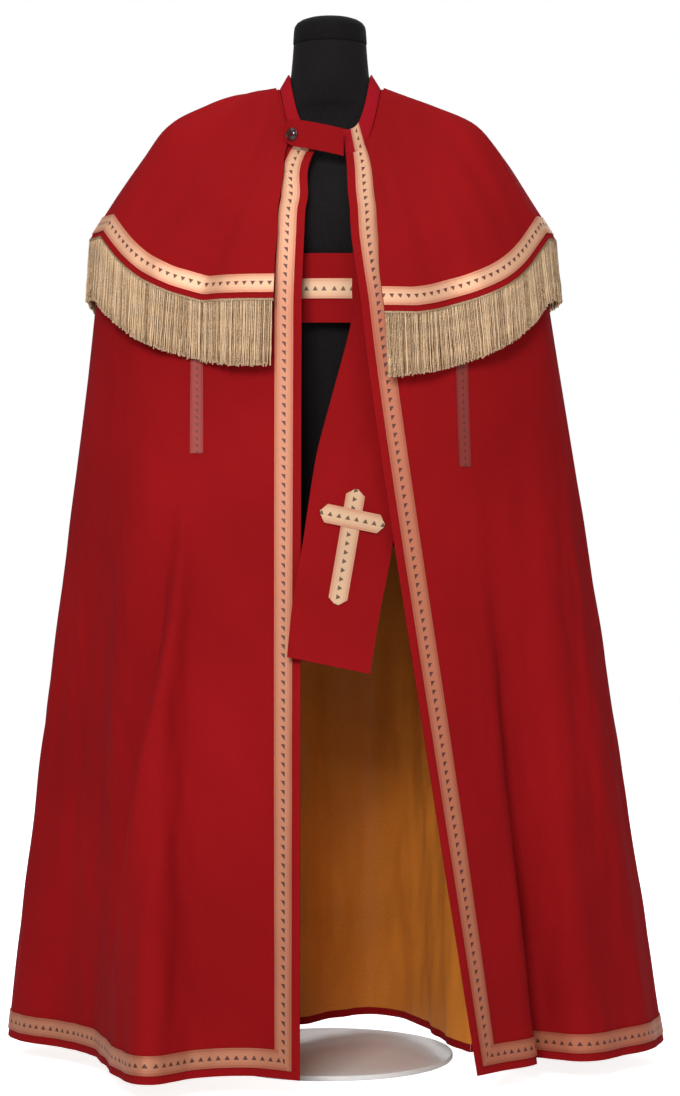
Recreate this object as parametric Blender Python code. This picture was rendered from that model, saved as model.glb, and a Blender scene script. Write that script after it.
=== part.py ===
import math

import bmesh
import bpy
import numpy as np

# Driving dimensions, in metres unless a name says degrees
HEM_Z = 0.030
CHEST_Z = 1.157
CLOTH = 0.0020
LINING = 0.0010
LAYER_GAP = 0.0004
SEAM_GAP = 0.0003
BRAID_LIFT = 0.0004
BRAID_THICK = 0.0012
EDGE_MARGIN = 0.012
BRAID_WIDTH = 0.028
CAPE_MARGIN = 0.009
CAPE_BRAID = 0.030
SLIT_BRAID_WIDTH = 0.020
SLIT_FOOT = 0.2014
FOLD_SMOOTHING = 0.035
FRINGE_STRIP = 0.006
FRINGE_PITCH = 0.0140
STRAND_WIDTH = 0.0034
TAB_HALF_HEIGHT = 0.0205
TAB_ENDS = (-0.071, 0.0205)
TAB_THICK = 0.0025
COLLAR_THICK = 0.0025
COLLAR_INSET = 0.0014
BUTTON_RADIUS = 0.010
BUTTON_THICK = 0.005
BUTTON_DROP = 0.003
SASH_LOW = 1.126
SASH_HIGH = 1.230
SASH_BRAID = (1.162, 1.192)
BASE_RADIUS = 0.190
BASE_THICK = 0.008
POLE_X = -0.070
POLE_RADIUS = 0.0125
CAP_RADIUS = 0.0565
CAP_LOW = 1.5658
CAP_HIGH = 1.6095
NECK_TOP = 1.5655
SIDE_SEAM_RIGHT = 91.0
SIDE_SEAM_LEFT = 272.0
BACK_SEAMS = (122.0, 172.0, 223.0)
SLIT_TURN_RIGHT = 32.6
SLIT_TURN_LEFT = 320.3
SLIT_DRIFT_RIGHT = -1.1
SLIT_DRIFT_LEFT = 19.0
SLIT_FOOT_SLOPE = 0.020
EDGE_TUCK = 1.3

# Rings round the body. A turn of 0 degrees is the front and 90 the wearer's right
# centre x, half width, front, back, side z, front z right, front z left, back z, edges
CLOAK_RINGS = (
    (0.0005, 0.0815, 0.1040, 0.0810, 1.4950, 1.3880, 1.3860, 1.4999, 17.6, 16.6),
    (-0.015, 0.175, 0.126, 0.112, 1.460, 1.330, 1.330, 1.460, 6.0, 13.8),
    (-0.012, 0.228, 0.142, 0.132, 1.436, 1.293, 1.293, 1.418, 6.3, 10.6),
    (-0.012, 0.262, 0.154, 0.147, 1.395, 1.258, 1.258, 1.366, 5.8, 9.6),
    (-0.012, 0.300, 0.165, 0.162, 1.330, 1.215, 1.215, 1.295, 5.4, 9.4),
    (-0.0115, 0.352, 0.178, 0.180, 1.157, 1.157, 1.157, 1.157, 5.0, 9.3),
)
CAPE_RINGS = (
    (0.000, 0.0855, 0.108, 0.085, 1.497, 1.392, 1.392, 1.500, 45.0, 39.5),
    (-0.015, 0.1325, 0.122, 0.102, 1.485, 1.362, 1.362, 1.487, 24.5, 36.0),
    (-0.016, 0.182, 0.137, 0.122, 1.467, 1.328, 1.328, 1.462, 18.5, 27.2),
    (-0.012, 0.240, 0.153, 0.144, 1.439, 1.293, 1.290, 1.420, 16.0, 20.0),
    (-0.010, 0.2795, 0.167, 0.161, 1.389, 1.258, 1.252, 1.366, 14.2, 17.1),
    (-0.012, 0.320, 0.182, 0.184, 1.327, 1.215, 1.202, 1.295, 12.6, 15.4),
    (-0.0125, 0.3595, 0.203, 0.214, 1.264, 1.157, 1.138, 1.200, 11.4, 15.0, 0.33, 0.53, 0.20, 0.72),
    (-0.0115, 0.3665, 0.217, 0.231, 1.168, 1.056, 1.040, 1.104, 11.4, 15.2, 0.27, 0.66, 0.25, 0.70),
)
COLLAR_TOP = (0.000, 0.0658, 0.088, 0.070, 1.518, 1.424, 1.424, 1.531, 20.0, 17.0)
TAB_RING = (-0.004, 0.1115, 0.1108, 0.110, 1.40, 1.40, 1.40, 1.40, 0.0, 0.0)
SASH_RING = (0.0, 0.1704, 0.132, 0.124, 1.2, 1.2, 1.2, 1.2, 0.0, 0.0)

# Ridges and valleys at the hem: x, y, turn on the chest ring, how late the fold opens
HEM_FOLDS = (
    (-0.0440, -0.328, 5.0, 1.0),
    (-0.122, -0.293, 21.0, 1.3),
    (-0.186, -0.307, 31.0, 1.2),
    (-0.256, -0.356, 41.0, 1.0),
    (-0.290, -0.336, 47.0, 1.0),
    (-0.322, -0.250, 56.0, 1.1),
    (-0.351, -0.155, 66.0, 1.3),
    (-0.377, -0.112, 73.0, 1.4),
    (-0.432, -0.070, 81.0, 1.2),
    (-0.490, -0.011, 91.0, 1.0),
    (-0.502, 0.058, 98.0, 1.0),
    (-0.468, 0.115, 106.0, 1.1),
    (-0.400, 0.140, 114.0, 1.2),
    (-0.345, 0.190, 122.0, 1.2),
    (-0.330, 0.265, 130.0, 1.1),
    (-0.282, 0.318, 138.0, 1.0),
    (-0.215, 0.295, 146.0, 1.0),
    (-0.178, 0.212, 155.0, 1.1),
    (-0.120, 0.132, 164.0, 1.3),
    (-0.050, 0.100, 172.0, 1.3),
    (0.010, 0.165, 182.0, 1.1),
    (0.068, 0.192, 190.0, 1.0),
    (0.118, 0.152, 198.0, 1.0),
    (0.156, 0.060, 207.0, 1.1),
    (0.186, -0.070, 217.0, 1.2),
    (0.211, -0.122, 223.0, 1.2),
    (0.236, -0.075, 229.0, 1.2),
    (0.240, 0.060, 236.0, 1.1),
    (0.250, 0.190, 243.0, 1.0),
    (0.298, 0.262, 250.0, 1.0),
    (0.356, 0.236, 256.0, 1.0),
    (0.392, 0.140, 261.0, 1.1),
    (0.460, 0.066, 266.0, 1.1),
    (0.512, 0.000, 272.0, 1.0),
    (0.504, -0.060, 278.0, 1.0),
    (0.440, -0.148, 290.0, 1.1),
    (0.370, -0.190, 304.0, 1.2),
    (0.316, -0.168, 313.0, 2.0),
    (0.276, -0.160, 319.0, 2.6),
    (0.303, -0.200, 326.0, 2.4),
    (0.2465, -0.262, 339.0, 1.2),
    (0.2126, -0.294, 352.0, 1.0),
)

# Soft folds of the shoulder cape: turn, how far out at its hem, spread in degrees
CAPE_FOLDS = (
    (32.0, -0.012, 6.0),
    (50.0, 0.006, 11.0),
    (76.0, -0.004, 8.0),
    (112.0, 0.010, 11.0),
    (135.0, -0.011, 9.0),
    (160.0, 0.010, 12.0),
    (187.0, -0.012, 9.0),
    (212.0, 0.010, 12.0),
    (237.0, -0.010, 9.0),
    (262.0, 0.006, 11.0),
    (288.0, -0.005, 9.0),
    (310.0, 0.006, 9.0),
    (326.0, -0.010, 6.0),
)

# Hanging end of the sash: z, left edge x and y, right edge x and y, right side's rise
TAIL_ROWS = (
    (1.232, 0.0345, -0.1356, 0.150, -0.096, 0.020),
    (1.180, 0.0330, -0.1362, 0.155, -0.104, 0.018),
    (1.123, 0.0310, -0.1410, 0.158, -0.116, 0.012),
    (1.007, 0.0010, -0.1680, 0.128, -0.146, 0.000),
    (0.930, -0.0190, -0.190, 0.110, -0.170, -0.010),
    (0.850, -0.0320, -0.213, 0.098, -0.190, -0.016),
    (0.790, -0.0405, -0.2310, 0.0880, -0.204, -0.022),
    (0.713, -0.0540, -0.244, 0.0720, -0.228, -0.025),
    (0.6306, -0.0623, -0.262, 0.0581, -0.252, -0.025),
)

# Dress form: z, half width, front, back
TORSO_RINGS = (
    (0.790, 0.138, 0.088, 0.093),
    (0.797, 0.150, 0.098, 0.103),
    (0.860, 0.163, 0.108, 0.115),
    (0.950, 0.165, 0.110, 0.118),
    (1.050, 0.158, 0.110, 0.108),
    (1.130, 0.156, 0.112, 0.104),
    (1.220, 0.168, 0.119, 0.112),
    (1.300, 0.184, 0.117, 0.120),
    (1.345, 0.193, 0.101, 0.122),
    (1.385, 0.206, 0.072, 0.126),
    (1.410, 0.213, 0.060, 0.118),
    (1.432, 0.2094, 0.053, 0.1126),
    (1.449, 0.1762, 0.049, 0.0985),
    (1.463, 0.130, 0.049, 0.086),
    (1.482, 0.0790, 0.055, 0.070),
    (1.510, 0.0625, 0.0585, 0.0585),
    (1.535, 0.0590, 0.0580, 0.0580),
    (NECK_TOP, 0.0565, 0.0560, 0.0560),
)
CAP_RINGS = (
    (CAP_LOW, 0.0560, 0.0560, 0.0560),
    (1.590, 0.0550, 0.0550, 0.0550),
    (1.6000, 0.0500, 0.0500, 0.0500),
    (1.6065, 0.0380, 0.0380, 0.0380),
    (CAP_HIGH, 0.0170, 0.0170, 0.0170),
)

# Colours: red, green and blue in linear light, roughness, metallic
COLOURS = {
    "cloth": ((0.310, 0.010, 0.013), 0.85, 0.0),
    "collar": ((0.330, 0.011, 0.022), 0.80, 0.0),
    "lining": ((0.360, 0.115, 0.022), 0.45, 0.0),
    "braid": ((0.780, 0.420, 0.250), 0.42, 0.35),
    "fringe": ((0.560, 0.360, 0.215), 0.60, 0.0),
    "button": ((0.060, 0.003, 0.004), 0.12, 0.0),
    "form": ((0.010, 0.007, 0.008), 0.75, 0.0),
    "stand": ((0.700, 0.680, 0.640), 0.35, 0.0),
}


def material(kind, name):
    """One plain material for one node."""
    colour, roughness, metallic = COLOURS[kind]
    made = bpy.data.materials.new(name)
    made.use_nodes = True
    shader = made.node_tree.nodes["Principled BSDF"]
    shader.inputs["Base Color"].default_value = (*colour, 1.0)
    shader.inputs["Roughness"].default_value = roughness
    shader.inputs["Metallic"].default_value = metallic
    return made


def add_mesh(name, points, faces, kind):
    """A mesh object with its faces turned outwards and shaded smooth."""
    mesh = bpy.data.meshes.new(name)
    mesh.from_pydata([tuple(map(float, point)) for point in points], [], faces)
    work = bmesh.new()
    work.from_mesh(mesh)
    bmesh.ops.recalc_face_normals(work, faces=work.faces)
    work.to_mesh(mesh)
    work.free()
    for face in mesh.polygons:
        face.use_smooth = True
    made = bpy.data.objects.new(name, mesh)
    bpy.context.collection.objects.link(made)
    mesh.materials.append(material(kind, name))
    return made


def smooth(value):
    value = np.clip(value, 0.0, 1.0)
    return value * value * (3.0 - 2.0 * value)


def spline(knots, values, at):
    """A smooth curve through the values."""
    knots = np.asarray(knots, float)
    values = np.asarray(values, float)
    slopes = np.gradient(values, knots)
    index = np.clip(np.searchsorted(knots, at) - 1, 0, len(knots) - 2)
    span = knots[index + 1] - knots[index]
    part = (at - knots[index]) / span
    low, high = values[index], values[index + 1]
    rise = slopes[index] * span
    fall = slopes[index + 1] * span
    cube = part**3
    square = part**2
    return (
        (2 * cube - 3 * square + 1) * low
        + (cube - 2 * square + part) * rise
        + (3 * square - 2 * cube) * high
        + (cube - square) * fall
    )


def ring_at(ring, turn):
    """Points of one ring at the turns, in degrees."""
    centre, wide, front, back, side_z, right_z, left_z, back_z = ring[:8]
    angle = np.radians(turn)
    ahead = np.cos(angle)
    x = centre - wide * np.sin(angle)
    y = np.where(ahead > 0, -front * ahead, -back * ahead)
    front_z = np.where(np.sin(angle) > 0, right_z, left_z)
    drop = smooth((ahead - 0.2) / 0.72)
    if len(ring) > 10:
        right = np.sin(angle) > 0
        start = np.where(right, ring[10], ring[12])
        slope = np.clip((ahead - start) / np.where(right, ring[11], ring[13]), 0.0, 1.0)
        drop = 0.7 * slope + 0.3 * smooth(slope)
    rise = smooth(-ahead)
    z = side_z + (front_z - side_z) * drop + (back_z - side_z) * rise
    return np.stack([x, y, z], axis=-1)


def turns(ring, across):
    """Turn in degrees for a share of the way from front edge to front edge."""
    return ring[8] + (360.0 - ring[9] - ring[8]) * across


FIRST_TURN = HEM_FOLDS[0][2]
LAST_TURN = HEM_FOLDS[-1][2]
FOLD_KEYS = [(row[2] - FIRST_TURN) / (LAST_TURN - FIRST_TURN) for row in HEM_FOLDS]
DENSE = np.linspace(0.0, 1.0, 1401)


def softened(values):
    """The values without their folds; the two ends stay."""
    count = len(values)
    reach = int(3 * FOLD_SMOOTHING * count)
    ahead = 2 * values[0] - values[reach:0:-1]
    behind = 2 * values[-1] - values[-2 : -reach - 2 : -1]
    padded = np.concatenate([ahead, values, behind])
    steps = np.arange(-reach, reach + 1) / (FOLD_SMOOTHING * count)
    weights = np.exp(-0.5 * steps**2)
    weights /= weights.sum()
    return np.convolve(padded, weights, mode="valid")


HEM_X = spline(FOLD_KEYS, [row[0] for row in HEM_FOLDS], DENSE)
HEM_Y = spline(FOLD_KEYS, [row[1] for row in HEM_FOLDS], DENSE)
SOFT_X = softened(HEM_X)
SOFT_Y = softened(HEM_Y)


def cloak_ring(level):
    ring = CLOAK_RINGS[level]

    def points(across):
        return ring_at(ring, turns(ring, across))

    return points


def skirt_ring(down, above=0.0, slope=0.0):
    """A ring below the chest: the share of the way down, or metres above the hem."""

    def at(across, share):
        ring = CLOAK_RINGS[-1]
        left = ring[9] - EDGE_TUCK * (1.0 - (1.0 - share) ** 6)
        chest = ring_at(ring, ring[8] + (360.0 - left - ring[8]) * across)
        hem_x = np.interp(across, DENSE, HEM_X)
        hem_y = np.interp(across, DENSE, HEM_Y)
        soft_x = np.interp(across, DENSE, SOFT_X)
        soft_y = np.interp(across, DENSE, SOFT_Y)
        late = np.interp(across, FOLD_KEYS, [row[3] for row in HEM_FOLDS])
        opened = share**late
        x = chest[..., 0] + (soft_x - chest[..., 0]) * share + (hem_x - soft_x) * opened
        y = chest[..., 1] + (soft_y - chest[..., 1]) * share + (hem_y - soft_y) * opened
        z = CHEST_Z + (HEM_Z - CHEST_Z) * share
        return np.stack([x, y, z * np.ones_like(x)], axis=-1)

    def points(across):
        if above == 0.0:
            return at(across, down + slope * across)
        low = at(across, np.ones_like(across))
        high = at(across, 0.96 * np.ones_like(across))
        length = np.linalg.norm(high - low, axis=-1)
        return at(across, 1.0 - 0.04 * above / length)

    return points


def cape_ring(level, above=0.0):
    """A ring of the shoulder cape, or metres above its hem, below it if negative."""

    def one(index, across):
        ring = CAPE_RINGS[index]
        turn = turns(ring, across)
        made = ring_at(ring, turn)
        reach = (min(index, 6) / 6.0) ** 1.6
        out = np.zeros_like(turn)
        for where, far, spread in CAPE_FOLDS:
            out = out + far * np.exp(-(((turn - where) / spread) ** 2))
        angle = np.radians(turn)
        made[..., 0] -= np.sin(angle) * out * reach
        made[..., 1] -= np.cos(angle) * out * reach
        return made

    def points(across):
        if above == 0.0:
            return one(level, across)
        hem = one(6, across)
        other = one(5 if above > 0 else 7, across)
        length = np.linalg.norm(other - hem, axis=-1)[..., None]
        return hem + (other - hem) * abs(above) / length

    return points


def row_lengths(ring):
    points = ring(DENSE)
    steps = np.linalg.norm(np.diff(points, axis=0), axis=-1)
    return np.concatenate([[0.0], np.cumsum(steps)])


def facing(rings, places):
    """Outward unit normals at every point of the grid."""
    step = 0.002
    grid = np.array([ring(place) for ring, place in zip(rings, places)])
    aside = np.array(
        [ring(np.clip(place + step, 0, 1)) - ring(np.clip(place - step, 0, 1))
         for ring, place in zip(rings, places)]
    )
    down = np.gradient(grid, axis=0)
    normal = np.cross(aside, down)
    normal /= np.linalg.norm(normal, axis=-1)[..., None]
    return grid, -normal if normal[len(grid) // 2, 2, 1] > 0 else normal


def shell(name, grid, normal, cells, low, high, kind):
    """A closed wall over some cells of a grid, from one lift off it to another."""
    rows, columns = grid.shape[:2]
    layers = (grid + normal * low, grid + normal * high)
    used = {}
    points = []
    faces = []

    def vertex(row, column, layer):
        key = (row, column, layer)
        if key not in used:
            used[key] = len(points)
            points.append(layers[layer][row, column])
        return used[key]

    for row, column in sorted(cells):
        corners = [(row, column), (row, column + 1), (row + 1, column + 1), (row + 1, column)]
        a, b, c, d = (grid[corner] for corner in corners)
        turned = np.linalg.norm(a - c) > np.linalg.norm(b - d)
        order = corners[1:] + corners[:1] if turned else corners
        for layer, way in ((1, 1), (0, -1)):
            first = [vertex(*order[i], layer) for i in (0, 1, 2)][::way]
            second = [vertex(*order[i], layer) for i in (0, 2, 3)][::way]
            faces.append(first)
            faces.append(second)
        beside = [(row - 1, column), (row, column + 1), (row + 1, column), (row, column - 1)]
        for side, other in enumerate(beside):
            if other in cells:
                continue
            start, end = corners[side], corners[(side + 1) % 4]
            quad = [vertex(*start, 0), vertex(*end, 0), vertex(*end, 1), vertex(*start, 1)]
            faces.append([quad[0], quad[1], quad[2]])
            faces.append([quad[0], quad[2], quad[3]])
    return add_mesh(name, points, faces, kind)


def block(rows, columns):
    """All cells of a stretch of rows and columns."""
    return {(row, column) for row in range(*rows) for column in range(*columns)}


def cloak_grid():
    """Rings, columns and the names of the columns that matter."""
    rings = [cloak_ring(level) for level in range(5)]
    downs = (0.0, 0.1, SLIT_FOOT, 0.36, 0.52, 0.68, 0.84)
    rings += [skirt_ring(down, 0.0, SLIT_FOOT_SLOPE * (down == SLIT_FOOT)) for down in downs]
    rings += [skirt_ring(1.0, EDGE_MARGIN + BRAID_WIDTH), skirt_ring(1.0, EDGE_MARGIN)]
    rings += [skirt_ring(1.0)]
    inset = EDGE_MARGIN + BRAID_WIDTH
    edges = (0.0, EDGE_MARGIN, EDGE_MARGIN + BRAID_WIDTH / 2)
    lengths = row_lengths(rings[-1])
    first = np.interp(inset, lengths, DENSE)
    last = np.interp(lengths[-1] - inset, lengths, DENSE)
    marks = {SIDE_SEAM_RIGHT: SEAM_GAP / 2, SIDE_SEAM_LEFT: SEAM_GAP / 2}
    marks.update({seam: SEAM_GAP / 2 for seam in BACK_SEAMS})
    marks[SLIT_TURN_RIGHT] = SLIT_BRAID_WIDTH / 2
    marks[SLIT_TURN_LEFT] = SLIT_BRAID_WIDTH / 2
    keys = sorted({row[2] for row in HEM_FOLDS[1:-1]} | set(marks))
    keys = [key for key in keys if key not in (31.0, 319.0, 326.0)]
    drifts = {SLIT_TURN_RIGHT: SLIT_DRIFT_RIGHT, SLIT_TURN_LEFT: SLIT_DRIFT_LEFT}
    chosen = [(first, 0.0, 0.0)]
    named = {}
    for number, key in enumerate(keys):
        share = (key - FIRST_TURN) / (LAST_TURN - FIRST_TURN)
        if number and key - keys[number - 1] > 7.5:
            chosen.append(((share + before) / 2, 0.0, 0.0))
        before = share
        if key in marks:
            named[key] = len(edges) + len(chosen)
            drift = drifts.get(key, 0.0) / (LAST_TURN - FIRST_TURN)
            chosen.append((share, -marks[key], drift))
            chosen.append((share, marks[key], drift))
        else:
            chosen.append((share, 0.0, 0.0))
    chosen.append((last, 0.0, 0.0))
    places = []
    for number, ring in enumerate(rings):
        moved = min(0.25, max(0.0, downs[number - 5])) if 5 <= number < 12 else 0.25 * (number > 5)
        lengths = row_lengths(ring)
        total = lengths[-1]
        low = np.interp(inset, lengths, DENSE)
        high = np.interp(total - inset, lengths, DENSE)
        row = [np.interp(edge, lengths, DENSE) for edge in edges]
        for share, aside, drift in chosen:
            place = low + (high - low) * (share + drift * moved - first) / (last - first)
            if aside:
                scale = 1.0 if abs(aside) < 0.001 else min(1.0, total / 1.75)
                along = np.interp(place, DENSE, lengths) + aside * scale
                place = np.interp(along, lengths, DENSE)
            row.append(place)
        row += [np.interp(total - edge, lengths, DENSE) for edge in reversed(edges)]
        places.append(np.array(row))
    grid, normal = facing(rings, places)
    return grid, normal, named


def build_cloak():
    grid, normal, named = cloak_grid()
    rows, columns = grid.shape[:2]
    right = named[SIDE_SEAM_RIGHT]
    left = named[SIDE_SEAM_LEFT]
    spans = {
        "front_right": (0, right),
        "back": (right + 1, left),
        "front_left": (left + 1, columns - 1),
    }
    starts = [right, *(named[seam] for seam in BACK_SEAMS), left]
    gores = {"front_right": spans["front_right"], "front_left": spans["front_left"]}
    for number in range(4):
        gores[f"back_{number + 1}"] = (starts[number] + 1, starts[number + 1])
    for part, span in gores.items():
        shell(f"cloak_{part}", grid, normal, block((0, rows - 1), span), -CLOTH, 0.0, "cloth")
    for part, span in spans.items():
        inner = (max(span[0], 1), min(span[1], columns - 2))
        outer_face = -CLOTH - LAYER_GAP
        cells = block((5, rows - 2), inner)
        shell(f"lining_{part}", grid, normal, cells, outer_face - LINING, outer_face, "lining")
    top = BRAID_LIFT + BRAID_THICK
    hem = (rows - 3, rows - 2)
    cells = block((0, rows - 2), (1, 3)) | block(hem, (1, right))
    shell("edge_braid_right", grid, normal, cells, BRAID_LIFT, top, "braid")
    cells = block((0, rows - 2), (columns - 4, columns - 2)) | block(hem, (left + 1, columns - 2))
    shell("edge_braid_left", grid, normal, cells, BRAID_LIFT, top, "braid")
    shell("hem_braid_back", grid, normal, block(hem, (right + 1, left)), BRAID_LIFT, top, "braid")
    for side, turn in (("right", SLIT_TURN_RIGHT), ("left", SLIT_TURN_LEFT)):
        cells = block((4, 7), (named[turn], named[turn] + 1))
        shell(f"slit_braid_{side}", grid, normal, cells, BRAID_LIFT, top, "braid")


def build_cape():
    rings = [cape_ring(level) for level in range(6)]
    rings += [cape_ring(6, CAPE_MARGIN + CAPE_BRAID), cape_ring(6, CAPE_MARGIN), cape_ring(6)]
    seams = []
    for seam in (90.0, 270.0):
        seams.append((seam - CAPE_RINGS[6][8]) / (360.0 - CAPE_RINGS[6][9] - CAPE_RINGS[6][8]))
    parts = (13, 22, 13)
    stops = (0.0, *seams, 1.0)
    places = []
    for ring in rings:
        lengths = row_lengths(ring)
        row = []
        for number, count in enumerate(parts):
            begin = np.interp(stops[number], DENSE, lengths)
            end = np.interp(stops[number + 1], DENSE, lengths)
            begin += SEAM_GAP / 2 if number else 0.0
            end -= SEAM_GAP / 2 if number < 2 else 0.0
            along = np.linspace(begin, end, count + 1)
            row += list(np.interp(along, lengths, DENSE))
        places.append(np.array(row))
    grid, normal = facing(rings, places)
    rows = grid.shape[0]
    begin = 0
    for part, count in zip(("front_right", "back", "front_left"), parts):
        span = (begin, begin + count)
        shell(f"cape_{part}", grid, normal, block((0, rows - 1), span), -CLOTH, 0.0, "cloth")
        cells = block((rows - 3, rows - 2), span)
        top = BRAID_LIFT + BRAID_THICK
        shell(f"cape_braid_{part}", grid, normal, cells, BRAID_LIFT, top, "braid")
        own = slice(begin, begin + count + 1)
        ends = cape_ring(7)(places[-1][own])
        build_fringe(part, grid[-1, own], normal[-1, own], ends)
        begin += count + 1


def build_fringe(part, hem, normal, ends):
    """Strands on a backing strip below one part of the cape's hem, from its points."""
    steps = np.linalg.norm(np.diff(hem, axis=0), axis=-1)
    lengths = np.concatenate([[0.0], np.cumsum(steps)])
    count = int(lengths[-1] / FRINGE_PITCH)
    pitch = lengths[-1] / count
    along = [0.0]
    for strand in range(count):
        middle = (strand + 0.5) * pitch
        along += [middle - STRAND_WIDTH / 2, middle + STRAND_WIDTH / 2]
    along.append(lengths[-1])

    def laid(values):
        return np.stack([np.interp(along, lengths, values[:, axis]) for axis in range(3)], -1)

    top, end, out = laid(hem), laid(ends), laid(normal)
    fall = (end - top) / np.linalg.norm(end - top, axis=-1)[:, None]
    grid = np.array([top + fall * SEAM_GAP * 3, top + fall * FRINGE_STRIP, end])
    cells = block((0, 1), (0, 2 * count + 1))
    cells |= {(1, 2 * strand + 1) for strand in range(count)}
    shell(f"fringe_{part}", grid, np.array([out] * 3), cells, -CLOTH, 0.0, "fringe")


def build_collar():
    """Stand collar on the neck line, leaning in as it rises."""
    low = CLOAK_RINGS[0]
    count = 30
    turn = np.linspace(COLLAR_TOP[8], 360.0 - COLLAR_TOP[9], count + 1)
    inset = [low[0], low[1] - COLLAR_INSET, low[2] - COLLAR_INSET, low[3] - COLLAR_INSET]
    foot = ring_at((*inset, *low[4:]), turn)
    foot[..., 2] += 0.0010
    top = ring_at(COLLAR_TOP, turn)
    grid = np.array([foot, (foot + top) / 2, top])
    around = np.gradient(grid, axis=1)
    down = np.gradient(grid, axis=0)
    normal = np.cross(around, down)
    normal /= np.linalg.norm(normal, axis=-1)[..., None]
    if normal[1, count // 2, 1] < 0:
        normal = -normal
    cells = block((0, 2), (0, count))
    shell("collar", grid, normal, cells, -COLLAR_THICK, 0.0, "collar")


def tab_point(x, height):
    """A point of the neck tab; height runs from -1 to 1 across its width."""
    centre, wide, front = TAB_RING[:3]
    y = -front * math.sqrt(1.0 - ((x - centre) / wide) ** 2)
    middle = 1.4195 - 0.212 * (x - TAB_ENDS[0])
    rounding = 0.018
    near = (TAB_ENDS[0] + rounding - x) / rounding
    half = TAB_HALF_HEIGHT * (math.sqrt(1.0 - 0.86 * near * near) if near > 0 else 1.0)
    return (x, y, middle + height * half)


def build_tab():
    count = 14
    low, high = TAB_ENDS
    steps = [low + (high - low) * (step / count) ** 1.3 for step in range(count + 1)]
    grid = np.array([[tab_point(x, height) for x in steps] for height in (-1.0, 0.0, 1.0)])
    along = np.gradient(grid, axis=1)
    up = np.gradient(grid, axis=0)
    normal = np.cross(along, up)
    normal /= np.linalg.norm(normal, axis=-1)[..., None]
    if normal[1, 7, 1] > 0:
        normal = -normal
    shell("neck_tab", grid, normal, block((0, 2), (0, count)), -TAB_THICK, 0.0, "cloth")
    centre = grid[1, 3] + (grid[1, 4] - grid[1, 3]) * 0.3
    centre[2] -= BUTTON_DROP
    facing_way = normal[1, 3]
    build_button(centre + facing_way * 0.0005, facing_way)


def build_button(foot, way):
    """A domed button on the tab."""
    side = np.cross(way, (0.0, 0.0, 1.0))
    side /= np.linalg.norm(side)
    other = np.cross(way, side)
    profile = ((0.94, 0.0), (1.0, 0.22), (0.96, 0.5), (0.75, 0.82), (0.4, 0.97))
    count = 16
    points = []
    for radius, height in profile:
        for step in range(count):
            angle = 2 * math.pi * step / count
            out = side * math.cos(angle) + other * math.sin(angle)
            points.append(foot + out * radius * BUTTON_RADIUS + way * height * BUTTON_THICK)
    points.append(foot + way * BUTTON_THICK)
    faces = [list(range(count))[::-1]]
    for ring in range(len(profile) - 1):
        for step in range(count):
            after = (step + 1) % count
            low, high = ring * count, (ring + 1) * count
            faces.append([low + step, low + after, high + after, high + step])
    last = (len(profile) - 1) * count
    for step in range(count):
        faces.append([last + step, last + (step + 1) % count, len(points) - 1])
    add_mesh("button", points, faces, "button")


def hoop(name, low, high, out, thick, kind, count=28):
    """A closed band round the form between two heights."""
    wide, front, back = (SASH_RING[1] + out, SASH_RING[2] + out, SASH_RING[3] + out)
    points = []
    for extra in (0.0, thick):
        for z in (low, high):
            for step in range(count):
                angle = 2 * math.pi * step / count
                ahead = math.cos(angle)
                depth = front if ahead > 0 else back
                x = (wide + extra) * math.sin(angle)
                points.append((x, -(depth + extra) * ahead, z))
    faces = []
    for step in range(count):
        after = (step + 1) % count
        inner_low, inner_high, outer_low, outer_high = (k * count for k in range(4))
        loops = ((outer_low, outer_high), (inner_high, inner_low))
        loops += ((outer_high, inner_high), (inner_low, outer_low))
        for a, b in loops:
            faces.append([a + step, a + after, b + after, b + step])
    return add_mesh(name, points, faces, kind)


def tail_grid(columns):
    """Points of the hanging sash end, left to right in each row."""
    shares = np.linspace(0.0, 1.0, columns + 1)
    rows = []
    for z, left_x, left_y, right_x, right_y, rise in TAIL_ROWS:
        x = left_x + (right_x - left_x) * shares
        y = left_y + (right_y - left_y) * shares**1.15
        rows.append(np.stack([x, y, z + rise * shares], axis=-1))
    return np.array(rows)


def tail_surface(x, z):
    """Depth of the hanging sash end at one place."""
    grid = tail_grid(8)
    heights = []
    depths = []
    for row in grid:
        depth = np.interp(x, row[:, 0], row[:, 1])
        heights.append(np.interp(x, row[:, 0], row[:, 2]))
        depths.append(depth)
    order = np.argsort(heights)
    return float(np.interp(z, np.array(heights)[order], np.array(depths)[order]))


def pointed_strip(name, start, end, lift):
    """A braid strip with pointed ends, laid on the hanging sash end."""
    start, end = np.array(start), np.array(end)
    length = np.linalg.norm(end - start)
    along = (end - start) / length
    aside = np.array([-along[1], along[0]])
    half = BRAID_WIDTH / 2
    point = 0.009
    steps = [0.0, point] + [point + (length - 2 * point) * k / 6 for k in range(1, 7)] + [length]
    rows = []
    for number, step in enumerate(steps):
        width = 0.0022 if number in (0, len(steps) - 1) else half
        row = []
        for side in (-1.0, 0.0, 1.0):
            x, z = start + along * step + aside * side * width
            row.append((x, tail_surface(x, z), z))
        rows.append(row)
    grid = np.array(rows)
    normal = np.cross(np.gradient(grid, axis=0), np.gradient(grid, axis=1))
    normal /= np.linalg.norm(normal, axis=-1)[..., None]
    normal = np.where(normal[..., 1:2] > 0, -normal, normal)
    cells = block((0, len(steps) - 1), (0, 2))
    shell(name, grid, normal, cells, lift, lift + BRAID_THICK, "braid")


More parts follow.
